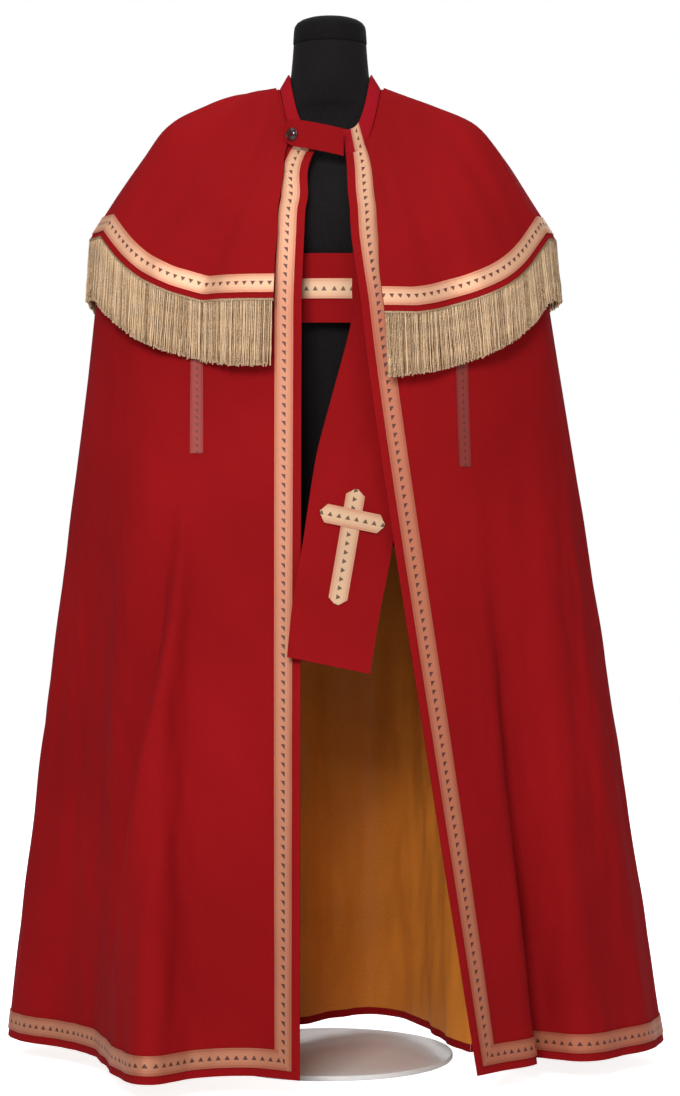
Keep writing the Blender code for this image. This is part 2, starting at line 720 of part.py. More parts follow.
def build_sash():
    hoop("sash_band", SASH_LOW, SASH_HIGH, 0.0, CLOTH, "cloth")
    hoop("sash_braid", *SASH_BRAID, CLOTH + BRAID_LIFT, BRAID_THICK, "braid")
    grid = tail_grid(6)
    normal = np.cross(np.gradient(grid, axis=1), np.gradient(grid, axis=0))
    normal /= np.linalg.norm(normal, axis=-1)[..., None]
    normal = np.where(normal[..., 1:2] > 0, -normal, normal)
    rows = grid.shape[0]
    shell("sash_tail", grid, normal, block((0, rows - 1), (0, 6)), -CLOTH, 0.0, "cloth")
    pointed_strip("cross_upright", (0.0388, 0.8745), (0.0098, 0.7050), 0.0009)
    pointed_strip("cross_bar", (-0.0152, 0.8405), (0.0796, 0.8210), 0.0026)


def stack(name, rings, kind, count, centre=(0.0, 0.0)):
    """A solid through level rings: z, half width, front, back."""
    points = []
    for z, wide, front, back in rings:
        for step in range(count):
            angle = 2 * math.pi * step / count
            ahead = math.cos(angle)
            depth = front if ahead > 0 else back
            points.append((centre[0] + wide * math.sin(angle), centre[1] - depth * ahead, z))
    faces = [list(range(count))]
    last = (len(rings) - 1) * count
    faces.append([last + step for step in reversed(range(count))])
    for ring in range(len(rings) - 1):
        for step in range(count):
            after = (step + 1) % count
            low, high = ring * count, (ring + 1) * count
            faces.append([low + step, low + after, high + after, high + step])
    return add_mesh(name, points, faces, kind)


def round_rings(rows):
    return [(z, radius, radius, radius) for z, radius in rows]


def build_form():
    stack("form_torso", TORSO_RINGS, "form", 28)
    stack("neck_cap", CAP_RINGS, "form", 28)
    top = TORSO_RINGS[0][0] - 0.0003
    foot = BASE_THICK + 0.0003
    rows = ((foot, 0.019), (foot + 0.007, 0.019), (foot + 0.010, POLE_RADIUS))
    rows += ((top - 0.010, POLE_RADIUS), (top - 0.007, 0.024), (top, 0.024))
    stack("stand_pole", round_rings(rows), "stand", 20, (POLE_X, 0.0))
    rows = ((0.0, BASE_RADIUS), (BASE_THICK - 0.002, BASE_RADIUS), (BASE_THICK, BASE_RADIUS - 0.002))
    stack("stand_base", round_rings(rows), "stand", 48)


def main():
    for old in list(bpy.data.objects):
        bpy.data.objects.remove(old, do_unlink=True)
    build_form()
    build_sash()
    build_cloak()
    build_cape()
    build_collar()
    build_tab()


main()
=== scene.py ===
import math
from functools import cache

import bmesh
import bpy
import numpy as np
from bpy.props import FloatProperty, FloatVectorProperty, IntProperty, PointerProperty
from bpy.types import Operator, Panel, PropertyGroup
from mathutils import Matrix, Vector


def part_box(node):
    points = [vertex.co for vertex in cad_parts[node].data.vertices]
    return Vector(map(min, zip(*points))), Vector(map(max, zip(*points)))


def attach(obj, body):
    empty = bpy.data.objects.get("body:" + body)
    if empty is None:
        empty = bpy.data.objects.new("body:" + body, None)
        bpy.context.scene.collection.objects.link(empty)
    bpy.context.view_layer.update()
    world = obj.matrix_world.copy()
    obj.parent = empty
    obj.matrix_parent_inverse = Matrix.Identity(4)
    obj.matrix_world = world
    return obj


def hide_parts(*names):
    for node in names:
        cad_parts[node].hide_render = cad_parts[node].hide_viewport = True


bl_info = {
    "name": "Fringed cloak on a dress form",
    "version": (1, 0, 0),
    "blender": (4, 5, 0),
    "location": "3D View > Sidebar > Cloak",
    "description": "Dresses the packed cloak with cloth, satin, braid and fringe",
    "category": "Object",
}

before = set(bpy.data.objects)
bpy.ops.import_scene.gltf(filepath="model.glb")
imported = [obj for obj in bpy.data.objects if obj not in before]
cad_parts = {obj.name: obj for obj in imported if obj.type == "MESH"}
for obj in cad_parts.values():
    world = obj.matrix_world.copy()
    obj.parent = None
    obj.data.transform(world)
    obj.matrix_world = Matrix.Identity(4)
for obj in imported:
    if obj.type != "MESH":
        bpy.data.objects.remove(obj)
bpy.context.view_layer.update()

# Sizes and places in metres; turns in degrees, from the front round the wearer's right
HEM_Z = 0.030
CHEST_Z = 1.157
EDGE_MARGIN = 0.012
CAPE_MARGIN = 0.009
SLIT_FOOT = 0.2014
SEAM_GAP = 0.0003
FOLD_SMOOTHING = 0.035
TAB_ENDS = (-0.071, 0.0205)
TAB_START_Z = 1.4195
TAB_SLOPE = -0.212
TAB_HALF_HEIGHT = 0.0205
TAB_ROUNDING = 0.018
SASH_LOW, SASH_HIGH = 1.126, 1.230
SASH_BRAID_LOW, SASH_BRAID_HIGH = 1.162, 1.192
SIDE_SEAM_RIGHT = 91.0
SIDE_SEAM_LEFT = 272.0
BACK_SEAMS = (122.0, 172.0, 223.0)
SLIT_TURN_RIGHT = 32.6
SLIT_TURN_LEFT = 320.3
SLIT_DRIFT_RIGHT = -1.1
SLIT_DRIFT_LEFT = 19.0
SLIT_FOOT_SLOPE = 0.020
EDGE_TUCK = 1.3
BASE_RADIUS = 0.190
BASE_THICK = 0.008
POLE_X = -0.070
POLE_RADIUS = 0.0125
POLE_FOOT_RADIUS = 0.019
POLE_TOP_RADIUS = 0.024
SKIRT_LENGTH = 1.13
BRAID_GAP = 0.0004
COLLAR_BRAID_TOP = 0.0014
CAPE_BRAID_WIDTH = 0.030
SLIT_HALF_WIDTH = 0.010
SLIT_CLEARANCE = 0.004
SLIT_ROWS_ABOVE_CHEST = 5
BUTTON_DOME = 0.0049
STRAND_SWAY = 0.0045
STRAND_LAYER_DEPTHS = (-0.0002, -0.0026)
# Heights of the edge braid's painted shade: full below the first, none above the second
SHADED_BELOW, LIT_ABOVE = 1.14, 1.34
COLLAR_THICK = 0.0025
PANEL_LENGTH = 1.52
LINING_LENGTH = 1.20
CAPE_LENGTH = 0.42
HEM_ROWS = 6
CAPE_SEAMS = (90.0, 270.0)
SEAMS = (SIDE_SEAM_RIGHT, *BACK_SEAMS, SIDE_SEAM_LEFT)

# Rings round the body: centre x, half width, front, back, side z, front z right and left,
# back z, and the turns of the two front edges
CLOAK_RINGS = (
    (0.0005, 0.0815, 0.1040, 0.0810, 1.4950, 1.3880, 1.3860, 1.4999, 17.6, 16.6),
    (-0.015, 0.175, 0.126, 0.112, 1.460, 1.330, 1.330, 1.460, 6.0, 13.8),
    (-0.012, 0.228, 0.142, 0.132, 1.436, 1.293, 1.293, 1.418, 6.3, 10.6),
    (-0.012, 0.262, 0.154, 0.147, 1.395, 1.258, 1.258, 1.366, 5.8, 9.6),
    (-0.012, 0.300, 0.165, 0.162, 1.330, 1.215, 1.215, 1.295, 5.4, 9.4),
    (-0.0115, 0.352, 0.178, 0.180, 1.157, 1.157, 1.157, 1.157, 5.0, 9.3),
)
CAPE_RINGS = (
    (0.000, 0.0855, 0.108, 0.085, 1.497, 1.392, 1.392, 1.500, 45.0, 39.5),
    (-0.015, 0.1325, 0.122, 0.102, 1.485, 1.362, 1.362, 1.487, 24.5, 36.0),
    (-0.016, 0.182, 0.137, 0.122, 1.467, 1.328, 1.328, 1.462, 18.5, 27.2),
    (-0.012, 0.240, 0.153, 0.144, 1.439, 1.293, 1.290, 1.420, 16.0, 20.0),
    (-0.010, 0.2795, 0.167, 0.161, 1.389, 1.258, 1.252, 1.366, 14.2, 17.1),
    (-0.012, 0.320, 0.182, 0.184, 1.327, 1.215, 1.202, 1.295, 12.6, 15.4),
    (-0.0125, 0.3595, 0.203, 0.214, 1.264, 1.157, 1.138, 1.200, 11.4, 15.0, 0.33, 0.53, 0.20, 0.72),
    (-0.0115, 0.3665, 0.217, 0.231, 1.168, 1.056, 1.040, 1.104, 11.4, 15.2, 0.27, 0.66, 0.25, 0.70),
)
COLLAR_TOP = (0.000, 0.0658, 0.088, 0.070, 1.518, 1.424, 1.424, 1.531, 20.0, 17.0)
TAB_RING = (-0.004, 0.1115, 0.1108)
SASH_RING = (0.1704, 0.132, 0.124)

# Ridges and valleys at the hem: x, y, turn on the chest ring, how late the fold opens
HEM_FOLDS = (
    (-0.0440, -0.328, 5.0, 1.0),
    (-0.122, -0.293, 21.0, 1.3),
    (-0.186, -0.307, 31.0, 1.2),
    (-0.256, -0.356, 41.0, 1.0),
    (-0.290, -0.336, 47.0, 1.0),
    (-0.322, -0.250, 56.0, 1.1),
    (-0.351, -0.155, 66.0, 1.3),
    (-0.377, -0.112, 73.0, 1.4),
    (-0.432, -0.070, 81.0, 1.2),
    (-0.490, -0.011, 91.0, 1.0),
    (-0.502, 0.058, 98.0, 1.0),
    (-0.468, 0.115, 106.0, 1.1),
    (-0.400, 0.140, 114.0, 1.2),
    (-0.345, 0.190, 122.0, 1.2),
    (-0.330, 0.265, 130.0, 1.1),
    (-0.282, 0.318, 138.0, 1.0),
    (-0.215, 0.295, 146.0, 1.0),
    (-0.178, 0.212, 155.0, 1.1),
    (-0.120, 0.132, 164.0, 1.3),
    (-0.050, 0.100, 172.0, 1.3),
    (0.010, 0.165, 182.0, 1.1),
    (0.068, 0.192, 190.0, 1.0),
    (0.118, 0.152, 198.0, 1.0),
    (0.156, 0.060, 207.0, 1.1),
    (0.186, -0.070, 217.0, 1.2),
    (0.211, -0.122, 223.0, 1.2),
    (0.236, -0.075, 229.0, 1.2),
    (0.240, 0.060, 236.0, 1.1),
    (0.250, 0.190, 243.0, 1.0),
    (0.298, 0.262, 250.0, 1.0),
    (0.356, 0.236, 256.0, 1.0),
    (0.392, 0.140, 261.0, 1.1),
    (0.460, 0.066, 266.0, 1.1),
    (0.512, 0.000, 272.0, 1.0),
    (0.504, -0.060, 278.0, 1.0),
    (0.440, -0.148, 290.0, 1.1),
    (0.370, -0.190, 304.0, 1.2),
    (0.316, -0.168, 313.0, 2.0),
    (0.276, -0.160, 319.0, 2.6),
    (0.303, -0.200, 326.0, 2.4),
    (0.2465, -0.262, 339.0, 1.2),
    (0.2126, -0.294, 352.0, 1.0),
)

# Soft folds of the shoulder cape: turn, how far out at its hem, spread in degrees
CAPE_FOLDS = (
    (32.0, -0.012, 6.0),
    (50.0, 0.006, 11.0),
    (76.0, -0.004, 8.0),
    (112.0, 0.010, 11.0),
    (135.0, -0.011, 9.0),
    (160.0, 0.010, 12.0),
    (187.0, -0.012, 9.0),
    (212.0, 0.010, 12.0),
    (237.0, -0.010, 9.0),
    (262.0, 0.006, 11.0),
    (288.0, -0.005, 9.0),
    (310.0, 0.006, 9.0),
    (326.0, -0.010, 6.0),
)

# Hanging end of the sash: z, left edge x and y, right edge x and y, right side's rise
TAIL_ROWS = (
    (1.232, 0.0345, -0.1356, 0.150, -0.096, 0.020),
    (1.180, 0.0330, -0.1362, 0.155, -0.104, 0.018),
    (1.123, 0.0310, -0.1410, 0.158, -0.116, 0.012),
    (1.007, 0.0010, -0.1680, 0.128, -0.146, 0.000),
    (0.930, -0.0190, -0.190, 0.110, -0.170, -0.010),
    (0.850, -0.0320, -0.213, 0.098, -0.190, -0.016),
    (0.790, -0.0405, -0.2310, 0.0880, -0.204, -0.022),
    (0.713, -0.0540, -0.244, 0.0720, -0.228, -0.025),
    (0.6306, -0.0623, -0.262, 0.0581, -0.252, -0.025),
)

# Dress form: z, half width, front, back
TORSO_RINGS = (
    (0.790, 0.138, 0.088, 0.093),
    (0.797, 0.150, 0.098, 0.103),
    (0.860, 0.163, 0.108, 0.115),
    (0.950, 0.165, 0.110, 0.118),
    (1.050, 0.158, 0.110, 0.108),
    (1.130, 0.156, 0.112, 0.104),
    (1.220, 0.168, 0.119, 0.112),
    (1.300, 0.184, 0.117, 0.120),
    (1.345, 0.193, 0.101, 0.122),
    (1.385, 0.206, 0.072, 0.126),
    (1.410, 0.213, 0.060, 0.118),
    (1.432, 0.2094, 0.053, 0.1126),
    (1.449, 0.1762, 0.049, 0.0985),
    (1.463, 0.130, 0.049, 0.086),
    (1.482, 0.0790, 0.055, 0.070),
    (1.510, 0.0625, 0.0585, 0.0585),
    (1.535, 0.0590, 0.0580, 0.0580),
    (1.5655, 0.0565, 0.0560, 0.0560),
)

# Neck cap: z, radius
CAP_ROWS = (
    (1.5658, 0.0545),
    (1.5664, 0.0562),
    (1.5690, 0.0572),
    (1.5760, 0.0568),
    (1.5880, 0.0560),
    (1.5940, 0.0548),
    (1.5990, 0.0515),
    (1.6030, 0.0455),
    (1.6060, 0.0370),
    (1.6080, 0.0265),
    (1.6092, 0.0130),
    (1.6095, 0.0010),
)

# Button: radius as a share of its own, height as a share of its dome
BUTTON_ROWS = (
    (0.05, 0.02),
    (0.92, 0.02),
    (0.985, 0.10),
    (1.0, 0.24),
    (0.97, 0.40),
    (0.90, 0.52),
    (0.84, 0.54),
    (0.80, 0.50),
    (0.76, 0.56),
    (0.64, 0.76),
    (0.46, 0.92),
    (0.24, 0.985),
    (0.03, 1.0),
)

# Braid strips of the cross: name, start and end as x and z, lift off the cloth
CROSS_STRIPS = (
    ("cross_upright", (0.0388, 0.8745), (0.0098, 0.7050), 0.0014),
    ("cross_bar", (-0.0152, 0.8405), (0.0796, 0.8210), 0.0028),
)

# Studio lights: name, place, aim, width and height, watts
LIGHTS = (
    ("key", (-0.7, -3.45, 2.6), (0.0, 0.0, 0.80), (1.4, 1.4), 117.0),
    ("fill", (2.6, -3.6, 1.5), (0.0, 0.0, 0.7), (1.6, 1.6), 17.0),
    ("top", (0.0, 0.2, 3.8), (0.0, 0.0, 0.8), (3.0, 3.0), 45.0),
    ("back", (0.3, 3.4, 2.4), (0.0, 0.0, 0.9), (3.4, 2.0), 60.0),
)

# Long soft folds of the fronts: down the cloth and along the hem at the start and the
# end of the crest, depth, width of the steep flank, width of the far side and its way
TROUGHS = (
    (0.58, 1.46, 0.180, 0.360, 0.030, 0.030, 0.12, 1.0),
    (0.84, 1.42, 3.110, 3.150, 0.014, 0.026, 0.08, -1.0),
)


def length_property(name, about, default, low, high):
    return FloatProperty(
        name=name, description=about, default=default, min=low, max=high, unit="LENGTH"
    )


def colour_property(name, about, default):
    return FloatVectorProperty(
        name=name, description=about, default=default, subtype="COLOR", size=3, min=0.0, max=1.0
    )


class ClothSettings(PropertyGroup):
    """Sizes and colours of the cloth pieces."""

    cloth_thickness: length_property(
        "Cloth thickness", "Thickness of the red cloth", 0.0020, 0.0008, 0.003
    )
    lining_thickness: length_property(
        "Lining thickness", "Thickness of the satin lining", 0.0006, 0.0003, 0.001
    )
    crease_depth: length_property(
        "Crease depth", "Depth of the small creases between the main folds", 0.0030, 0.0, 0.006
    )
    column_step: length_property(
        "Column step", "Distance between mesh columns at the hem", 0.0085, 0.004, 0.04
    )
    row_step: length_property(
        "Row step", "Distance between mesh rows down the cloth", 0.012, 0.006, 0.05
    )
    cloth_colour: colour_property(
        "Cloth colour", "Colour of the red cloth", (0.275, 0.0050, 0.0068)
    )
    lining_colour: colour_property(
        "Lining colour", "Colour of the golden lining", (0.66, 0.215, 0.027)
    )


class TrimSettings(PropertyGroup):
    """Sizes and colours of the braid and the fringe."""

    braid_width: length_property(
        "Braid width", "Width of the flat metallic braid", 0.028, 0.02, 0.04
    )
    braid_thickness: length_property(
        "Braid thickness", "Thickness of the flat metallic braid", 0.0012, 0.0005, 0.002
    )
    motif_pitch: length_property(
        "Motif pitch", "Distance between the braid's small triangles", 0.0132, 0.005, 0.05
    )
    braid_colour: colour_property(
        "Braid colour", "Ground colour of the metallic braid", (0.78, 0.47, 0.29)
    )
    strand_pitch: length_property(
        "Strand pitch", "Distance from one fringe strand to the next", 0.0026, 0.0015, 0.01
    )
    strand_radius: length_property(
        "Strand radius", "Radius of one twisted fringe strand", 0.0012, 0.0005, 0.003
    )
    fringe_seed: IntProperty(
        name="Fringe seed",
        description="Seed of the fringe's uneven lengths and sway",
        default=7,
        min=0,
        max=1000,
    )
    fringe_colour: colour_property(
        "Fringe colour", "Colour of the fringe yarn", (0.62, 0.42, 0.24)
    )


class FormSettings(PropertyGroup):
    """Colours of the dress form and its stand."""

    form_colour: colour_property(
        "Form colour", "Colour of the jersey over the form", (0.0070, 0.0050, 0.0056)
    )
    stand_colour: colour_property(
        "Stand colour", "Colour of the lacquered pole and base", (0.78, 0.77, 0.75)
    )
    button_radius: length_property(
        "Button radius", "Radius of the domed button", 0.010, 0.007, 0.012
    )


def settings():
    scene = bpy.context.scene
    return scene.cloak_cloth, scene.cloak_trim, scene.cloak_form


# Curves and surfaces


def smooth(value):
    value = np.clip(value, 0.0, 1.0)
    return value * value * (3.0 - 2.0 * value)


def spline(knots, values, at):
    """A smooth curve through the values."""
    knots = np.asarray(knots, float)
    values = np.asarray(values, float)
    slopes = np.gradient(values, knots)
    index = np.clip(np.searchsorted(knots, at) - 1, 0, len(knots) - 2)
    span = knots[index + 1] - knots[index]
    part = (at - knots[index]) / span
    low, high = values[index], values[index + 1]
    rise = slopes[index] * span
    fall = slopes[index + 1] * span
    cube = part**3
    square = part**2
    return (
        (2 * cube - 3 * square + 1) * low
        + (cube - 2 * square + part) * rise
        + (3 * square - 2 * cube) * high
        + (cube - square) * fall
    )


def ring_between(rings, level):
    """The ring at a level that may lie between two rows of the table."""
    keys = np.arange(len(rings))
    table = np.array([ring[:10] for ring in rings])
    return [float(spline(keys, table[:, column], level)) for column in range(10)]


def ring_at(ring, turn):
    """Points of a ring at turns in degrees, from the front round the wearer's right."""
    centre, wide, front, back, side_z, right_z, left_z, back_z = ring[:8]
    angle = np.radians(turn)
    ahead = np.cos(angle)
    right = np.sin(angle) > 0
    x = centre - wide * np.sin(angle)
    y = np.where(ahead > 0, -front * ahead, -back * ahead)
    drop = smooth((ahead - 0.2) / 0.72)
    if len(ring) > 10:
        start = np.where(right, ring[10], ring[12])
        slope = np.clip((ahead - start) / np.where(right, ring[11], ring[13]), 0.0, 1.0)
        drop = 0.7 * slope + 0.3 * smooth(slope)
    front_z = np.where(right, right_z, left_z)
    z = side_z + (front_z - side_z) * drop + (back_z - side_z) * smooth(-ahead)
    return np.stack([x, y, z], axis=-1)


def turns(ring, across):
    return ring[8] + (360.0 - ring[9] - ring[8]) * across


def lengths_down(grid):
    """Length from the first row, down every column, or along a path."""
    steps = np.linalg.norm(np.diff(grid, axis=0), axis=-1)
    return np.concatenate([np.zeros_like(grid[:1, ..., 0]), np.cumsum(steps, axis=0)])


FIRST_TURN = HEM_FOLDS[0][2]
LAST_TURN = HEM_FOLDS[-1][2]
DENSE = np.linspace(0.0, 1.0, 2801)


def fold_share(turn):
    """Where a turn of the chest ring lies between the two front edges."""
    return (turn - FIRST_TURN) / (LAST_TURN - FIRST_TURN)


def softened(values):
    """The values without their folds; the two ends stay."""
    count = len(values)
    reach = int(3 * FOLD_SMOOTHING * count)
    ahead = 2 * values[0] - values[reach:0:-1]
    behind = 2 * values[-1] - values[-2 : -reach - 2 : -1]
    padded = np.concatenate([ahead, values, behind])
    steps = np.arange(-reach, reach + 1) / (FOLD_SMOOTHING * count)
    weights = np.exp(-0.5 * steps**2)
    return np.convolve(padded, weights / weights.sum(), mode="valid")


FOLD_KEYS = [fold_share(row[2]) for row in HEM_FOLDS]
HEM_X, HEM_Y = (spline(FOLD_KEYS, [row[axis] for row in HEM_FOLDS], DENSE) for axis in (0, 1))
SOFT_X, SOFT_Y = softened(HEM_X), softened(HEM_Y)
HEM_LENGTHS = lengths_down(np.stack([HEM_X, HEM_Y], axis=-1))


def cloak_ring(level):
    ring = ring_between(CLOAK_RINGS, level)
    return lambda across: ring_at(ring, turns(ring, across))


def skirt_at(across, share):
    """Points below the chest: folds open towards the hem."""
    ring = CLOAK_RINGS[-1]
    left = ring[9] - EDGE_TUCK * (1.0 - (1.0 - share) ** 6)
    chest = ring_at(ring, ring[8] + (360.0 - left - ring[8]) * across)
    hem_x, hem_y, soft_x, soft_y = (
        np.interp(across, DENSE, line) for line in (HEM_X, HEM_Y, SOFT_X, SOFT_Y)
    )
    opened = share ** np.interp(across, FOLD_KEYS, [row[3] for row in HEM_FOLDS])
    x = chest[..., 0] + (soft_x - chest[..., 0]) * share + (hem_x - soft_x) * opened
    y = chest[..., 1] + (soft_y - chest[..., 1]) * share + (hem_y - soft_y) * opened
    z = CHEST_Z + (HEM_Z - CHEST_Z) * share
    return np.stack([x, y, z * np.ones_like(x)], axis=-1)


def skirt_ring(down, above=0.0):
    """A ring below the chest: the share of the way down, or metres above the hem."""
    tilt = SLIT_FOOT_SLOPE * smooth(1.0 - abs(down - SLIT_FOOT) / 0.15)

    def points(across):
        if above == 0.0:
            return skirt_at(across, down + tilt * across)
        low = skirt_at(across, np.ones_like(across))
        high = skirt_at(across, 0.96 * np.ones_like(across))
        length = np.linalg.norm(high - low, axis=-1)
        return skirt_at(across, 1.0 - 0.04 * above / length)

    return points


def cape_at(level, across):
    ring = CAPE_RINGS[int(level)] if level > 5.0 else ring_between(CAPE_RINGS, level)
    turn = turns(ring, across)
    made = ring_at(ring, turn)
    reach = (min(level, 6.0) / 6.0) ** 1.6
    out = np.zeros_like(turn)
    for where, far, spread in CAPE_FOLDS:
        out = out + far * np.exp(-(((turn - where) / spread) ** 2))
    angle = np.radians(turn)
    made[..., 0] -= np.sin(angle) * out * reach
    made[..., 1] -= np.cos(angle) * out * reach
    return made


def cape_ring(level, above=0.0):
    """A ring of the shoulder cape, or metres above its hem."""

    def points(across):
        if above == 0.0:
            return cape_at(level, across)
        hem = cape_at(6.0, across)
        other = cape_at(5.0, across)
        length = np.linalg.norm(other - hem, axis=-1)[..., None]
        return hem + (other - hem) * above / length

    return points


def troughs(along, down):
    """Height of the long folds at places of the cloth."""
    made = np.zeros_like(along)
    for first, last, start, end, depth, flank, spread, way in TROUGHS:
        share = np.clip((down - first) / (last - first), 0.0, 1.0)
        aside = way * (along - start - (end - start) * share**1.35)
        fall = smooth(aside / flank) * (1.0 - smooth((aside - flank) / spread))
        crest = smooth(1.0 + aside / 0.05) * (1.0 - smooth(aside / flank))
        strength = smooth(share / 0.35) * (1.0 - smooth((share - 0.78) / 0.2))
        made += depth * strength * (0.25 * crest - fall)
    return made


class Waves:
    """A smooth uneven surface made of a few slanted waves of different lengths."""

    def __init__(self, seed, count, shortest, longest, slant):
        chance = np.random.default_rng(seed)
        self.along = 2 * math.pi / chance.uniform(shortest, longest, count)
        self.down = self.along * chance.uniform(-slant, slant, count)
        self.start = chance.uniform(0.0, 2 * math.pi, count)
        self.size = chance.uniform(0.5, 1.0, count)
        self.size /= np.sqrt((self.size**2).sum())

    def __call__(self, along, down):
        made = 0.0
        for a, d, start, size in zip(self.along, self.down, self.start, self.size):
            made = made + size * np.sin(a * along + d * down + start)
        return made


def unit(vectors):
    return vectors / np.linalg.norm(vectors, axis=-1)[..., None]


def outward(rings, places):
    """The grid through the places of the rings, and its outward unit normals."""
    step = 0.0012
    grid = np.array([ring(place) for ring, place in zip(rings, places)])
    aside = [
        ring(np.clip(place + step, 0, 1)) - ring(np.clip(place - step, 0, 1))
        for ring, place in zip(rings, places)
    ]
    normal = unit(np.cross(aside, np.gradient(grid, axis=0)))
    return grid, -normal if normal[len(grid) // 2, 2, 1] > 0 else normal


def grid_normals(grid, front=True):
    """Unit normals of a small grid, turned to the front or to the back."""
    normal = unit(np.cross(np.gradient(grid, axis=1), np.gradient(grid, axis=0)))
    middle = normal[normal.shape[0] // 2, normal.shape[1] // 2]
    return -normal if (middle[1] > 0) == front else normal


def length_uv(grid):
    """UV in metres along the columns and the rows of a small grid."""
    return np.stack([lengths_down(grid.swapaxes(0, 1)).T, lengths_down(grid)], axis=-1)


def cells_of(grid, rows=(0, None), columns=(0, None)):
    """A mask of the cells in a stretch of rows and columns, or of all cells."""
    mask = np.zeros((grid.shape[0] - 1, grid.shape[1] - 1), bool)
    mask[slice(*rows), slice(*columns)] = True
    return mask


def linked(name, data):
    """A new object in the scene."""
    made = bpy.data.objects.new(name, data)
    bpy.context.scene.collection.objects.link(made)
    return made


def finish_mesh(name, mesh, finish, angle=50.0):
    mesh.validate(clean_customdata=False)
    mesh.polygons.foreach_set("use_smooth", [True] * len(mesh.polygons))
    mesh.set_sharp_from_angle(angle=math.radians(angle))
    mesh.update()
    mesh.materials.append(material(finish))
    return linked(name, mesh)


def shell(name, wall, depths, finish, mask=None, other=None):
    """A closed wall over the masked cells of a grid, with a UV map.

    wall holds the grid, its normals and its UV grid. other holds a second UV grid and the
    mask of the cells that use it."""
    grid, normal, uv = wall
    mask = cells_of(grid) if mask is None else mask
    count = grid.shape[0] * grid.shape[1]
    index = np.arange(count).reshape(grid.shape[:2])
    corners = np.stack([index[:-1, :-1], index[:-1, 1:], index[1:, 1:], index[1:, :-1]], axis=-1)
    tops = corners[mask] + count
    rims, rim_cells = [], []
    padded = np.pad(mask, 1)
    beside = (padded[:-2, 1:-1], padded[1:-1, 2:], padded[2:, 1:-1], padded[1:-1, :-2])
    for side, neighbour in enumerate(beside):
        edge = mask & ~neighbour
        start = corners[..., side][edge]
        end = corners[..., (side + 1) % 4][edge]
        rims.append(np.stack([start, end, end + count, start + count], axis=-1))
        rim_cells.append(np.argwhere(edge))
    faces = np.concatenate([tops, corners[mask][:, ::-1], *rims])
    points = np.concatenate([(grid + normal * depth).reshape(-1, 3) for depth in depths])
    first = tops[len(tops) // 2]
    turn = np.cross(points[first[1]] - points[first[0]], points[first[3]] - points[first[0]])
    if turn @ normal.reshape(-1, 3)[first[0] - count] < 0:
        faces = faces[:, ::-1]
    used = np.unique(faces)
    lookup = np.zeros(2 * count, np.int64)
    lookup[used] = np.arange(len(used))
    mesh = bpy.data.meshes.new(name)
    mesh.vertices.add(len(used))
    mesh.vertices.foreach_set("co", points[used].ravel())
    mesh.loops.add(faces.size)
    mesh.loops.foreach_set("vertex_index", lookup[faces].ravel())
    mesh.polygons.add(len(faces))
    mesh.polygons.foreach_set("loop_start", np.arange(0, faces.size, 4))
    layer = mesh.uv_layers.new(name="UVMap")
    flat = uv.reshape(-1, 2)[faces % count]
    if other is not None:
        where = np.argwhere(mask)
        of_cell = np.concatenate([where, where, *rim_cells])
        chosen = other[1][of_cell[:, 0], of_cell[:, 1]]
        flat[chosen] = other[0].reshape(-1, 2)[faces[chosen] % count]
    mesh.update(calc_edges=True)
    layer.data.foreach_set("uv", flat.reshape(-1))
    return finish_mesh(name, mesh, finish)


def loft(name, loops, finish, angle=50.0):
    """A closed skin through loops of equal length, ends filled."""
    count = len(loops[0])
    faces = []
    for low in range(0, (len(loops) - 1) * count, count):
        for step in range(count):
            after = (step + 1) % count
            high = low + count
            faces.append((low + step, low + after, high + after, high + step))
    faces.append(tuple(reversed(range(count))))
    faces.append(tuple((len(loops) - 1) * count + step for step in range(count)))
    mesh = bpy.data.meshes.new(name)
    mesh.from_pydata([tuple(map(float, point)) for point in np.concatenate(loops)], [], faces)
    work = bmesh.new()
    work.from_mesh(mesh)
    bmesh.ops.recalc_face_normals(work, faces=work.faces)
    work.to_mesh(mesh)
    work.free()
    return finish_mesh(name, mesh, finish, angle)


# Shader groups and materials


class Value:
    """An output of a node; arithmetic with it adds nodes."""

    def __init__(self, wires, socket):
        self.wires, self.socket = wires, socket

    def __add__(self, other):
        return self.wires.math("ADD", self, other)

    def __sub__(self, other):
        return self.wires.math("SUBTRACT", self, other)

    def __rsub__(self, other):
        return self.wires.math("SUBTRACT", other, self)

    def __mul__(self, other):
        return self.wires.math("MULTIPLY", self, other)

    def __truediv__(self, other):
        return self.wires.math("DIVIDE", self, other)

    def __abs__(self):
        return self.wires.math("ABSOLUTE", self)

    def sine(self):
        return self.wires.math("SINE", self)

    def near(self, centre, spread):
        """One within the spread on both sides of the centre, else nothing."""
        return self.wires.math("COMPARE", self, centre, spread)

    def ramp(self, low, high, low_to=0.0, high_to=1.0):
        inputs = {
            "Value": self, "From Min": low, "From Max": high, "To Min": low_to, "To Max": high_to
        }
        return self.wires.get("ShaderNodeMapRange", inputs, "Result", clamp=True)


